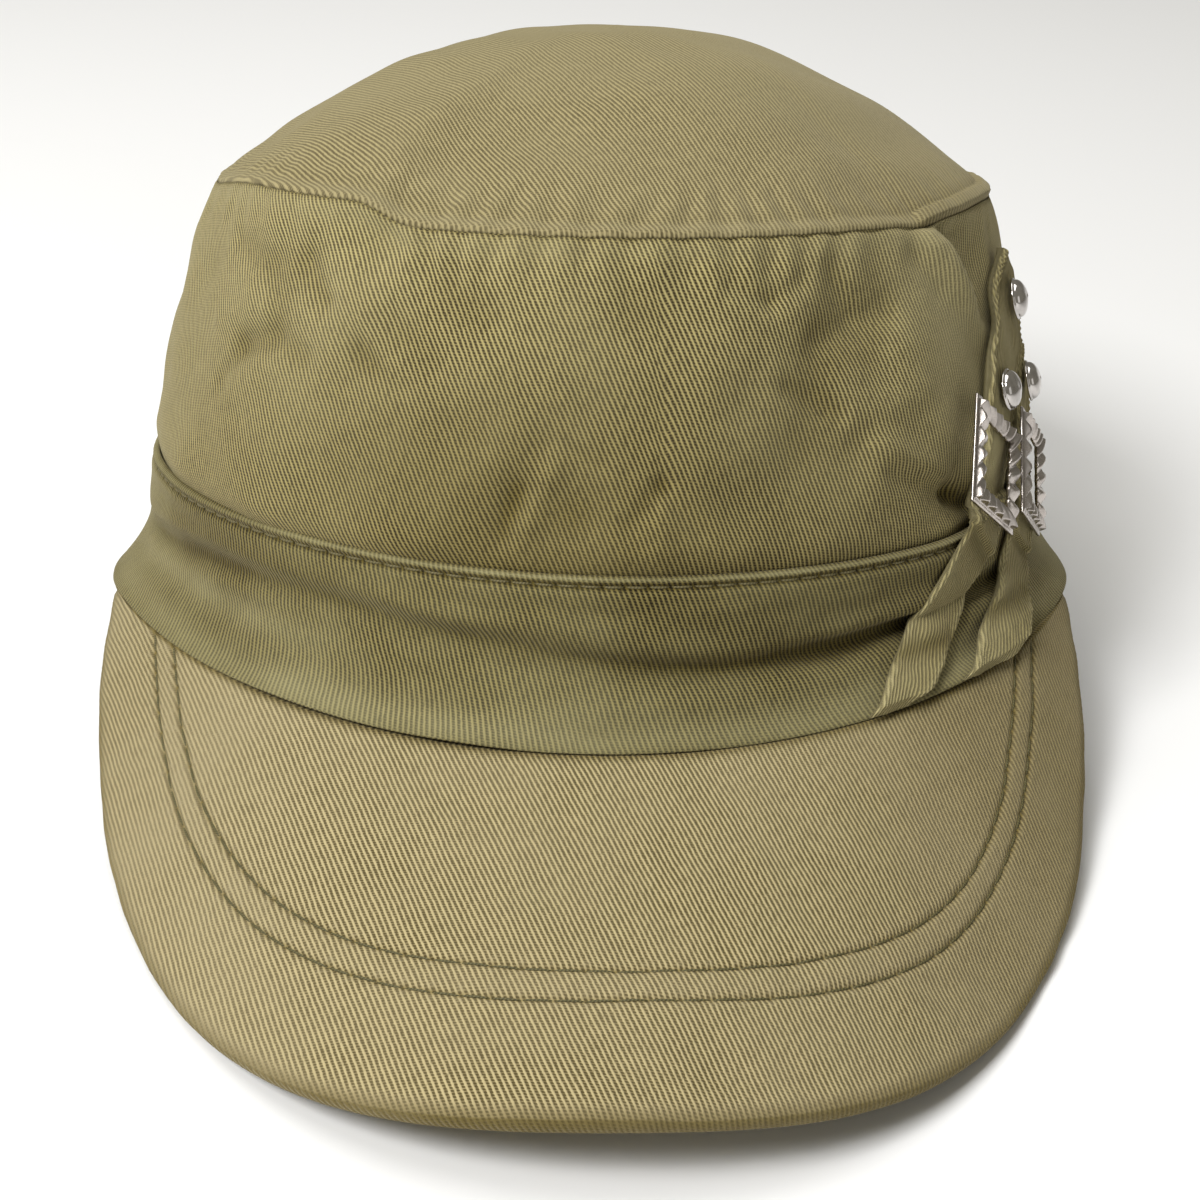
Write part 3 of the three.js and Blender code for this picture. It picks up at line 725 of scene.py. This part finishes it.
# The band's painted shade: the stitch row's groove and needle holes, under the folded edge, along the
# lower edge, in hollows and the long valley, on both sides, on a few soft patches, below the top edge
# at the front, and over the whole inside.
band_soiled = (0.7 + 0.6 * band_holes) * hill((from_top - stitch_row) / 0.5)
band_soiled += 0.15 * hill((band_angles + 50) / 34) * smooth(band_levels, 0.2, 0.6)
band_soiled += 0.22 * smooth(band_angles, 0, 40) + 0.3 * hill(band_levels / 0.05)
band_soiled += 0.4 * smooth(-band_relief, 0.2, 1.2) + 0.35 * hill((from_top - 0.95) / 0.4)
band_soiled += 0.3 * patch(band_angles, band_levels, -48, 20, 0.17, 0.12)
band_soiled += 0.2 * smooth(-band_angles, 30, 60) + 0.12 * hill((band_angles - 6) / 12)
valley_level, valley_depth = valley_at(band_angles)
in_valley = valley_depth * hill((band_levels - valley_level - 0.02) / 0.1)
band_soiled += 0.5 * in_valley * (1 - 0.7 * smooth(band_angles, 42, 52))
band_soiled += 0.22 * hill((band_levels - 0.8) / 0.16) * front
worn, soiled = on_face(band_worn, band_ring), on_face(band_soiled, band_ring, 0.7)
band = sewn_mesh("band_cloth", band_ring, band_place, True, worn=worn, soiled=soiled)
band.data.materials.append(twill("band_twill", "#8f8351", "#241c0a", "#9d9772"))
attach(band, "root")
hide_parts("band")


thread_radius = 0.17


def thread(name, code):
    """Glossy sewing thread, with its plies twisted round it."""
    material, start = new_material(name)
    along, round_it = start.cloth_place()
    plies = (along / 0.55 + round_it).swing()
    # Between the plies the colour is darker: painted shade in the twist's grooves.
    colour = plies.blend(dye(code, 0.55), dye(code))
    bump = start.node("ShaderNodeBump", None, {"Height": plies, "Strength": 0.5, "Distance": 0.0001})
    start.surface({"Base Color": colour, "Roughness": 0.7 - plies * 0.15, "Normal": bump})
    return material


def sew(name, line, square, count, shown):
    """A row of stitches along a line of points, each stitch eight rings of eight points. Square
    is the cloth's facing, and shown is the share of a stitch that isn't down its needle holes."""
    reach = reach_along(line)
    length = reach[-1] / count * shown
    begins = (np.arange(count) + 0.5 * (1 - shown)) * reach[-1] / count
    shares = np.linspace(0, 1, 8)
    spots = begins[:, None] + shares * length
    centre, up = (
        np.stack([np.interp(spots, reach, table[:, j]) for j in range(3)], -1)
        for table in (line, square)
    )
    side = np.cross(up, unit(np.gradient(centre, axis=1)))
    arch = np.sin(math.pi * np.clip(shares, 0.02, 0.98)) ** 0.5
    centre = centre + up * (thread_radius * (1.1 * arch - 0.75))[:, None]
    turns = (np.arange(8) * math.pi / 4)[:, None]
    girth = (thread_radius * (0.35 + 0.65 * arch))[:, None, None]
    ring = np.cos(turns) * side[:, :, None] * 1.25 + np.sin(turns) * up[:, :, None]
    points = centre[:, :, None] + girth * ring
    stitch, step, k = np.meshgrid(np.arange(count), np.arange(7), np.arange(8), indexing="ij")
    stitch, step, k = stitch.ravel(), step.ravel(), k.ravel()
    here = stitch * 64 + step * 8
    faces = np.stack([here + k, here + (k + 1) % 8, here + 8 + (k + 1) % 8, here + 8 + k], 1)
    s, r = step / 7 * length, k / 8
    corners = [(s, r), (s, r + 0.125), (s + length / 7, r + 0.125), (s + length / 7, r)]
    on_thread = np.stack([np.stack(corner, -1) for corner in corners], 1)
    ends = []
    for first in range(0, count * 64, 64):
        ends += [first + np.arange(7, -1, -1), first + 56 + np.arange(8)]
    spots = [on_thread.reshape(-1, 2), np.zeros((len(ends) * 8, 2))]
    return make_piece(name, rested(points).reshape(-1, 3), faces, ends, spots)


row_share = 1 - stitch_row / band_tall[:, 0]
row_line = [
    [np.interp(share, band_levels[0], column[:, j]) for j in range(3)]
    for share, column in zip(row_share, band_outside)
]
row_line = np.array(row_line + row_line[:1])
row_square = outward(np.append(band_angles[:, 0], 180))
band_stitches = sew("band_stitches", row_line, row_square, band_stitch_count, 0.9)
band_stitches.data.materials.append(thread("band_thread", "#6f6640"))
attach(band_stitches, "root")

# The peak is a stiff board between two layers of twill, sewn under the band's lower edge and
# turned round its front edge. Two rows of stitching hold the layers together along that edge.
peak_span = 72.6
peak_long = 68.2
peak_thick = 3
peak_stitch = 4.5
# How far the two rows lie from the front edge, outer and inner, at shares of the peak's width.
peak_rows = np.array(
    [
        (-0.76, 13.3, 17.3),
        (-0.6, 14, 18),
        (-0.5, 15.1, 19.2),
        (-0.4, 16.2, 20.8),
        (-0.3, 17.7, 22.4),
        (-0.2, 18.9, 24.2),
        (-0.1, 19.6, 25),
        (0, 19.8, 25.1),
        (0.1, 19.4, 24.8),
        (0.2, 18, 23.3),
        (0.3, 16, 21.1),
        (0.4, 14.3, 18.7),
        (0.5, 13.6, 17.5),
        (0.6, 13.4, 17.4),
        (0.76, 12.7, 16.6),
    ]
)


def on_peak(share, reach):
    """A point of the peak's upper face, and its place on the flat cloth. The share runs from -1
    to 1 along the rim, and the reach from 0 there to 1 at the front edge."""
    angle = share * peak_span
    slope = np.radians(19 + 80 * share**2 - 55.7 * share**4)
    heading = np.radians(0.37 * angle + 33.5 * share**3)
    run = reach * peak_long * (1 - np.abs(share) ** 2.71) ** 1.76
    point = on_rim(angle) + 0 * run[..., None]
    flat = point[..., :2].copy()
    point[..., 0] += run * np.cos(slope) * np.sin(heading)
    point[..., 1] -= run * np.cos(slope) * np.cos(heading)
    point[..., 2] -= run * np.sin(slope) + 1.9 * (run / 60) ** 2 + 0.4
    flat[..., 0] += run * np.sin(heading)
    flat[..., 1] -= run * np.cos(heading)
    return point, flat


def distances(points, line):
    """From the points of a grid to every point of a line, a row of the grid at a time."""
    return (np.linalg.norm(row[:, None] - line, axis=-1) for row in points)


even = np.linspace(-1, 1, 440)[:, None]
peak_shares = 0.965 * np.sin(even * math.radians(78)) / math.sin(math.radians(78))
peak_reaches = np.linspace(0, 1, 140)[None]
upper, upper_flat = on_peak(peak_shares, peak_reaches)
peak_square = facing(upper, False)
peak_square *= np.sign(peak_square[..., 2:])
front_edge = on_peak(np.linspace(-0.99, 0.99, 900), np.ones(900))[0]
from_edge = np.stack([row.min(1) for row in distances(upper, front_edge)])
peak_relief = 0.16 * swells(upper, 30, 31) + 0.07 * swells(upper, 9, 32)
stitch_rows = {}
for column, which in ((1, "outer"), (2, "inner")):
    away = from_edge - table_at(peak_rows, column, peak_shares, (-0.04, 0, 0.04))
    reached = [i for i in range(len(upper)) if away[i, 0] > 0]
    j = np.array([int(np.argmax(away[i] < 0)) for i in reached])
    before, after = away[reached, j - 1], away[reached, j]
    t = (before / (before - after))[:, None]
    line = upper[reached, j - 1] * (1 - t) + upper[reached, j] * t
    reach = reach_along(line)
    count = round(reach[-1] / peak_stitch)
    nearest = np.stack([row.argmin(1) for row in distances(upper, line)])
    holes = smooth(np.cos(2 * math.pi * count * reach[nearest] / reach[-1]), 0.7, 1)
    stitch_rows[which] = (away, holes, reached, j, t, count)
    peak_relief -= 0.34 * hill(away / 0.6) + 0.15 * holes * hill(away / 0.4)
    peak_relief += 0.16 * holes * hill((np.abs(away) - 1) / 0.5)
raised = stitch_rows["outer"][0] - 2.3
peak_relief += 0.16 * hill(raised / 1.6) - 0.35 * hill(from_edge / 0.9)
peak_relief *= smooth(peak_reaches, 0, 0.04)
peak_under = (upper - peak_square * peak_thick)[:, ::6]
peak_under[:, -1] = upper[:, -1] - peak_square[:, -1] * peak_thick
upper = upper + peak_square * peak_relief[..., None]
tucked = on_peak(peak_shares[:, 0], np.zeros(len(peak_shares)))[0]
tucked = (tucked - outward(peak_shares[:, 0] * peak_span) * 1.4)[:, None]
edge_turn = turned_edge(upper[:, -1], peak_under[:, -1], upper[:, -1] - upper[:, -4], 0.62, 7)
tucked_low = tucked - [0, 0, peak_thick]
peak_ring = np.concatenate([tucked, upper, edge_turn, peak_under[:, ::-1], tucked_low], 1)
last = upper.shape[1]
ring_reach = along_ring(peak_ring)
beyond = (ring_reach[:, last + 1 :] - ring_reach[:, last : last + 1])[..., None]
under_flat = upper_flat[:, -1:] + unit(upper_flat[:, -1:] - upper_flat[:, -5:-4]) * beyond
peak_place = np.concatenate([upper_flat[:, :1], upper_flat, under_flat], 1)

# The peak's paling, partly worn dye and partly painted light: the rolled front edge, the ridge inside
# the outer stitch row, the sides, and painted highlights on the puckers beside the needle holes.
peak_worn = 0.6 * hill(from_edge / 1.6) + 0.15 * hill(raised / 1.8)
peak_worn += 0.4 * smooth(np.abs(peak_shares), 0.2, 0.6)
# Its painted shade: a painted shadow where it meets the band, the rolled front edge, its two sides
# (more on the wearer's left), the stitch rows' grooves and needle holes, and its whole underside.
peak_soiled = 0.8 * hill(peak_reaches / 0.018) + 0.6 * hill(from_edge / 1.3)
peak_soiled += 0.18 * smooth(-peak_shares, 0.4, 0.8) + 0.55 * smooth(peak_shares, 0.15, 0.7)
for away, holes, *_ in stitch_rows.values():
    peak_soiled += (0.6 + 0.4 * holes) * hill(away / 0.4)
    peak_worn += 0.4 * holes * hill((np.abs(away) - 1) / 0.5)
worn, soiled = on_face(peak_worn, peak_ring, 0, 1), on_face(peak_soiled, peak_ring, 0.3, 1)
# Both marks also cover the turned front edge.
for mark in (worn, soiled):
    mark[:, last + 1 : last + 8] = 0.9
peak = sewn_mesh("peak_cloth", peak_ring, peak_place, False, worn=worn, soiled=soiled)
peak.data.materials.append(twill("peak_twill", "#b7a87d", "#4e4324", "#9c9070", 0.385))
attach(peak, "root")
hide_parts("peak")

for which, (away, holes, reached, j, t, count) in stitch_rows.items():
    line = upper[reached, j - 1] * (1 - t) + upper[reached, j] * t
    stitches = sew(f"peak_stitches_{which}", line, peak_square[reached, j], count, 0.95)
    # The thread is coloured darker than the peak's cloth: painted shade of the stitches' grooves.
    stitches.data.materials.append(thread(f"peak_thread_{which}", "#5d5630"))
    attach(stitches, "root")

# Two straps of folded twill leave the band's lower edge on the wearer's left and slant up and
# back over the band and the side wall. Each is held by domed studs, and carries a buckle below
# them. The rows give a strap's centre line from the rim up, as angle, height and width.
strap_cloth = 1.4
strap_gap = 0.4
strap_rows = {
    "front": [
        (30.1, -6.1, 7.4),
        (35.5, 0.3, 7.6),
        (40.3, 6, 8.4),
        (44.9, 12, 9.8),
        (50.4, 19, 10.6),
        (54.2, 27.7, 12),
        (58.2, 39.5, 14),
        (63, 47, 15),
        (67.8, 52.9, 15),
        (70.6, 56.6, 14.5),
    ],
    "back": [
        (43.2, -4, 7.6),
        (49.2, -0.1, 7.8),
        (54.3, 3.8, 8.2),
        (58, 8, 8.8),
        (61, 12.4, 9.8),
        (63.2, 17, 11),
        (65.2, 23, 12),
        (67.4, 30, 12.4),
        (70.6, 37.6, 11.6),
        (72.6, 40.8, 11.5),
    ],
}


def on_skin(angle, height):
    """The outermost point of the band or the side wall at an angle and a height."""
    band_high = on_band(angle, np.ones_like(angle))
    band_low = on_band(angle, np.zeros_like(angle))
    wall_high = on_wall(angle, np.ones_like(angle))
    low = (height - band_low[..., 2]) / (band_high[..., 2] - band_low[..., 2])
    high = (height - band_high[..., 2]) / (wall_high[..., 2] - band_high[..., 2])
    on_low = on_band(angle, np.clip(low, 0, 1))
    on_high = on_wall(angle, np.clip(high, 0, 1))
    point = np.where((height <= band_high[..., 2])[..., None], on_low, on_high)
    point[..., 2] = height
    return point


def on_bridged_skin(angle, height, lift):
    """The same, bridging small hollows and steps as a stretched strap does."""
    out = outward(angle)
    here = on_skin(angle, height)
    raised = np.zeros_like(angle)
    for shift in np.arange(-4, 4.1, 0.5):
        near = on_skin(angle, height + shift)
        near[..., 2] = height
        fall = 0.8 * max(abs(shift) - 2, 0)
        raised = np.maximum(raised, np.sum((near - here) * out, -1) - fall)
    return here + out * (raised + lift)[..., None]


def curve_through(rows, share):
    """A smooth curve through rows of numbers, with knots spread by the root of their spacing."""
    rows = np.asarray(rows, float)
    first = 2 * rows[0] - rows[1]
    last = 2 * rows[-1] - rows[-2]
    padded = np.concatenate([[first], rows, [last]])
    place = np.clip(np.asarray(share, float), 0, 1) * (len(rows) - 1)
    index = np.minimum(place.astype(int), len(rows) - 2)
    weight = (place - index)[..., None]
    p0, p1, p2, p3 = (padded[index + j] for j in range(4))
    d0, d1, d2 = (
        np.sqrt(np.linalg.norm(b - a, axis=-1))[..., None] for a, b in ((p0, p1), (p1, p2), (p2, p3))
    )
    t1 = ((p1 - p0) / d0 - (p2 - p0) / (d0 + d1) + (p2 - p1) / d1) * d1
    t2 = ((p2 - p1) / d1 - (p3 - p1) / (d1 + d2) + (p3 - p2) / d2) * d1
    cube = 2 * p1 - 2 * p2 + t1 + t2
    square = -3 * p1 + 3 * p2 - 2 * t1 - t2
    return ((cube * weight + square) * weight + t1) * weight + p1


def on_strap(rows, share, across, lift):
    """A point of a strap: across runs from -1 to 1 between its edges."""
    spot = curve_through(rows, share)
    step = curve_through(rows, share + 1e-4) - curve_through(rows, share - 1e-4)
    angle, height, width = spot[..., 0], spot[..., 1], spot[..., 2]
    gap = on_skin(angle + 1, height) - on_skin(angle - 1, height)
    per_degree = np.linalg.norm(gap, axis=-1) / 2
    ahead = unit(np.stack([step[..., 0] * per_degree, step[..., 1]], -1))
    low = (1 - smooth(share, 0, 0.14))[..., None]
    ahead = unit(ahead * (1 - low) + np.array([0, 1]) * low)
    offset = across * width / 2
    placed = angle + offset * ahead[..., 1] / per_degree
    lowest = on_rim(placed)[..., 2] + strap_gap
    tall = np.maximum(height - offset * ahead[..., 0], lowest)
    return on_bridged_skin(placed, tall, lift)


strap_steps = 300
strap_columns = 42
# The share of its length where each strap's upper layer starts, and the heights at which it
# crosses the band's valley and the band's upper edge, and passes under its buckle.
strap_crossings = {"front": (0.41, 2.2, 21.2, 29.5), "back": (0.43, 4, 19.2, 24)}
for which, rows in strap_rows.items():
    fold, valley_height, edge_height, buckle_height = strap_crossings[which]
    share = np.linspace(0, 1, strap_steps)[:, None] + np.zeros((1, strap_columns))
    across = 0 * share + np.sin(np.linspace(-1, 1, strap_columns) * 1.4) / math.sin(1.4)
    outside = on_strap(rows, share, across, strap_gap + strap_cloth)
    under = on_strap(rows, share, across, strap_gap)
    square = unit(outside - under)
    flat = across * curve_through(rows, share)[..., 2] / 2
    from_side = np.abs(flat[:, :1]) - np.abs(flat)
    rolled = smooth(share, 0.5, 0.6)
    hem = hill((from_side - 0.85) / 0.65)
    twist = np.cos(2 * math.pi * (share * 62 - np.abs(flat) / 1.7))
    relief = (0.12 + 0.2 * rolled) * hem - 0.3 * hill(from_side / 0.3)
    relief += (0.05 + 0.09 * rolled) * twist * hem
    relief += 0.06 * rolled * swells(outside, 2.6, 43) * hill((from_side - 0.5) / 0.7)
    relief += 0.16 * swells(outside, 12, 41) + 0.08 * swells(outside, 5, 42)
    relief -= 0.7 * (1 - smooth(share, fold - 0.006, fold + 0.004))
    relief += 0.3 * hill((share - fold - 0.012) / 0.01)
    over_valley = hill((outside[..., 2] - valley_height) / 1.6)
    relief += 0.25 * hill((outside[..., 2] - edge_height) / 1.2) - 0.45 * over_valley
    relief = np.maximum(relief - 0.35 * (1 - smooth(share, 0, 0.05)), -1.1)
    ring = np.append(outside + square * relief[..., None], under[:, ::4][:, ::-1], 1)
    flat = np.concatenate([flat, -flat[:, ::4][:, ::-1], flat[:, :1]], 1)
    run = reach_along(outside[:, strap_columns // 2])[:, None]
    place = 1.4 * np.stack(np.broadcast_arrays(flat, run), -1)
    # The strap's paling, partly worn dye and partly painted light: painted highlights on the twisted
    # hem, and painted light near the buckle, where its bars shade the strap.
    worn = 0.2 + 0.45 * hill((from_side - 0.5) / 0.5) * (0.6 + 0.4 * twist)
    worn += 0.6 * hill((outside[..., 2] - buckle_height) / 6.5)
    # Its painted shade: a painted shadow under the upper layer's folded end, shade where it dips into
    # the band's valley, and along the rolled hem.
    soiled = 0.6 * hill((share - fold + 0.02) / 0.02) + 0.7 * over_valley
    soiled += rolled * (hem * (0.25 - 0.25 * twist) + 0.5 * hill((from_side - 2) / 0.35))
    worn, soiled = on_face(worn, ring), on_face(soiled, ring)
    strap = sewn_mesh(f"strap_cloth_{which}", ring, place, False, worn=worn, soiled=soiled)
    strap_twill = twill(f"strap_twill_{which}", "#8f8354", "#393017", "#b0a67c", 0.27)
    strap.data.materials.append(strap_twill)
    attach(strap, "root")
    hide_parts(f"strap_{which}")

# Each strap carries a square buckle frame of nickel-plated metal. Its bars are cast like rope,
# with slanting lumps along them, and a thin bright lip runs round the outer edge.
buckle_side = 19.2
buckle_bar = 3.5
bar_steps = 96
bar_lip = 0.2
bar_crest = 0.29
# How far across a bar its lengthwise lines lie: a flat lip, a steep rise, then the lumps' fall.
bar_places = [0, 0.03, 0.1, 0.18, 0.2, 0.222, 0.245, 0.268, 0.29, 0.32]
bar_places += [0.37, 0.45, 0.54, 0.63, 0.72, 0.8, 0.87, 0.93, 0.97, 1]


def seat(angle, height, lean, swing, rise, half_size):
    """The flat place where a piece of trim sits: it faces outward, swung round and tipped up,
    and is raised until it clears the strap. Returned as its three axes and its origin."""
    out = outward(np.array([angle]))[0]
    c, s = math.cos(math.radians(swing)), math.sin(math.radians(swing))
    forward = np.array([c * out[0] - s * out[1], s * out[0] + c * out[1], 0])
    level = np.array([-forward[1], forward[0], 0])
    tip = math.radians(rise)
    normal = forward * math.cos(tip) + np.array([0, 0, 1]) * math.sin(tip)
    steep = np.cross(normal, level)
    slant = math.radians(lean)
    along = steep * math.cos(slant) - np.cross(normal, steep) * math.sin(slant)
    across = np.cross(along, normal)
    per_degree = math.radians(1) * band_top["width"]
    right, ahead = np.meshgrid([-1, -0.5, 0, 0.5, 1], [-1, -0.5, 0, 0.5, 1])
    right, ahead = right * half_size, ahead * half_size
    side = right * math.cos(slant) + ahead * math.sin(slant)
    up = ahead * math.cos(slant) - right * math.sin(slant)
    lift = strap_gap + strap_cloth + 0.38
    cloth = on_bridged_skin(angle + side / per_degree, height + up, lift)
    origin = on_bridged_skin(np.array([angle * 1.0]), np.array([height * 1.0]), lift)[0]
    highest = max(0, float(np.max((cloth - origin) @ normal)))
    return across, along, normal, origin + normal * highest


def metal(name, colour, roughness):
    """Polished nickel plate, with faint scratches and duller, darker patches at random."""
    material, start = new_material(name)
    place = start.node("ShaderNodeTexCoord", None, None, 3)
    sockets = {"Vector": place, "Scale": 900.0, "Detail": 3.0, "Roughness": 0.6}
    specks = start.node("ShaderNodeTexNoise", None, sockets)
    sockets = {"Vector": place, "Scale": 260.0, "Detail": 2.0, "Roughness": 0.5}
    clouds = start.node("ShaderNodeTexNoise", None, sockets)
    tarnish = (clouds * 0.7 + specks * 0.3).between(0.42, 0.68)
    scratches = {"Height": clouds * 0.6 + specks * 0.4, "Strength": 0.12, "Distance": 0.0002}
    sockets = {
        "Base Color": tarnish.blend(dye(colour), dye(colour, 0.62)),
        "Metallic": 1.0,
        "Roughness": tarnish * 0.16 + roughness,
        "Normal": start.node("ShaderNodeBump", None, scratches),
    }
    start.surface(sockets)
    return material


def placed(points, place):
    """Points on a seat, taken to the cap's own frame."""
    across, along, normal, origin = place
    return points[..., :1] * across + points[..., 1:2] * along + points[..., 2:] * normal + origin


def metal_piece(name, points, pitch):
    """A closed piece of trim, with its points an even pitch apart on its flat place."""
    rows, ring = points.shape[:2]
    grid = np.meshgrid(np.arange(rows + 1), np.arange(ring + 1), indexing="ij")
    return sewn_mesh(name, points, np.stack(grid, -1) * pitch, True)


buckle_seats = {
    "front": seat(50.3, 28.65, 32.1, 8.3, 13.8, buckle_side / 2),
    "back": seat(63, 23, 28.5, 6, 9.3, buckle_side / 2),
}
for which, place in buckle_seats.items():
    step = np.arange(bar_steps * 4)[:, None]
    corner = step // bar_steps * math.pi / 2
    share = step % bar_steps / bar_steps
    inward = np.append(bar_places, np.linspace(1, 0, 7)[1:])
    rise = np.clip((inward - bar_lip) / (bar_crest - bar_lip), 0, 1)
    lump = np.abs(np.cos(math.pi * (5 * share + 0.4 * inward + 0.32 * rise - 0.3))) ** 1.3
    fall = np.sqrt(np.clip(1 - ((inward - bar_crest) / (1 - bar_crest)) ** 2, 0, 1))
    height = 0.5 + rise * (0.3 + 1.05 * lump) * fall - 0.2 * hill(inward / 0.02)
    height[:, len(bar_places) :] = 0
    inner_edge = buckle_side / 2 - buckle_bar - 0.6 * (lump - 0.6)
    distance = buckle_side / 2 + (inner_edge - buckle_side / 2) * inward
    x = (share * 2 - 1) * distance
    c, s = np.cos(corner), np.sin(corner)
    points = np.stack([c * x + s * distance, s * x - c * distance, height], -1)
    buckle = metal_piece(f"buckle_metal_{which}", placed(points, place), 0.2)
    buckle.data.materials.append(metal(f"buckle_nickel_{which}", "#c4bcb6", 0.24))
    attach(buckle, "root")
    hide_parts(f"buckle_{which}")

# Domed rivet studs of the same nickel plate are pressed through the straps. Each stands on a
# narrow flange, and its polished dome is slightly flattened on top.
stud_radius = 3.75
stud_tall = 2.4
flange_tall = 0.5
dome_radius = 3.42
stud_places = {
    "front_lower": (57.9, 39.5, 0, 5, 14),
    "front_upper": (66.7, 52.9, 0, 4, 14),
    "back_lower": (69, 37.7, 0, 5, 14),
}
for which, spot in stud_places.items():
    rise = np.radians(np.linspace(0, 90, 22))[1:]
    radii = np.append([0.012, 3.3, 3.72, stud_radius, 3.62, dome_radius], dome_radius * np.cos(rise))
    radii = np.maximum(radii, 0.012)
    heights = flange_tall + (stud_tall - flange_tall) * np.sin(rise) ** 0.92
    heights = np.append([0, 0, 0.06, 0.28, 0.45, flange_tall], heights)
    round_it = np.radians(np.arange(56) * 360 / 56)[:, None]
    tilt = 0.03 * np.sin(round_it * 2 + 0.6) * smooth(radii, 3.3, 1.5)
    x, y = radii * np.cos(round_it), radii * np.sin(round_it)
    points = np.stack([x, y, heights * (1 + tilt)], -1)
    stud = metal_piece(f"stud_metal_{which}", placed(points, seat(*spot, stud_radius)), 0.3)
    stud.data.materials.append(metal(f"stud_nickel_{which}", "#cfcac6", 0.1))
    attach(stud, "root")
    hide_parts(f"stud_{which}")

# The studio: a plain pale floor, three large soft lamps and an even pale surround, seen from in
# front and above by a camera at head height.
floor_mesh = bpy.data.meshes.new("floor")
floor_mesh.from_pydata([(-4, -3, 0), (4, -3, 0), (4, 6, 0), (-4, 6, 0)], [], [(0, 1, 2, 3)])
floor = bpy.data.objects.new("floor", floor_mesh)
bpy.context.scene.collection.objects.link(floor)
floor_paint, start = new_material("pale_floor")
spots = start.node("ShaderNodeTexNoise", None, {"Scale": 3.0, "Detail": 2.0})
pale = spots.between(0.3, 0.7).blend((0.84, 0.84, 0.84, 1), (0.87, 0.87, 0.87, 1))
start.surface({"Base Color": pale, "Roughness": 0.9})
floor_mesh.materials.append(floor_paint)


def lamp(name, place, aim, size, power):
    light = bpy.data.lights.new(name, "AREA")
    light.shape = "RECTANGLE"
    light.size, light.size_y = size
    light.energy = power
    holder = bpy.data.objects.new(name, light)
    holder.location = place
    holder.rotation_euler = (Vector(aim) - Vector(place)).to_track_quat("-Z", "Y").to_euler()
    bpy.context.scene.collection.objects.link(holder)


lamp("key_lamp", (-0.7, -0.6, 1.02), (0, 0, 0.06), (0.5, 0.5), 17.2)
lamp("top_lamp", (-0.2, 0.15, 1.25), (0, 0, 0.06), (1.0, 0.8), 8)
lamp("fill_lamp", (0.8, -0.9, 0.45), (0, 0, 0.06), (0.6, 0.7), 0.8)

surround = bpy.data.worlds.new("surround")
bpy.context.scene.world = surround
surround.use_nodes = True
backdrop = surround.node_tree.nodes["Background"]
backdrop.inputs["Color"].default_value = (1, 0.958, 0.82, 1)
backdrop.inputs["Strength"].default_value = 0.235
bpy.context.scene.view_settings.view_transform = "Standard"

eye = rested(np.array([-11.2, -401.4, 121.39]))
yaw, pitch, roll = (math.radians(angle) for angle in (1.96, -18.72, 1.2))
look = np.array(
    [math.sin(yaw) * math.cos(pitch), math.cos(yaw) * math.cos(pitch), math.sin(pitch)]
)
level = np.array([math.cos(yaw), -math.sin(yaw), 0])
upright = np.cross(level, look)
right = math.cos(roll) * level + math.sin(roll) * upright
top = math.cos(roll) * upright - math.sin(roll) * level
lean_back = Matrix.Rotation(-rest_lean, 3, "X")
columns = [lean_back @ Vector(axis) for axis in (right, top, -look)]
camera_data = bpy.data.cameras.new("camera")
camera_data.lens = 63.06
camera_data.sensor_width = 36
camera = bpy.data.objects.new("camera", camera_data)
camera.matrix_world = Matrix.Translation(eye) @ Matrix(columns).transposed().to_4x4()
bpy.context.scene.collection.objects.link(camera)
bpy.context.scene.camera = camera
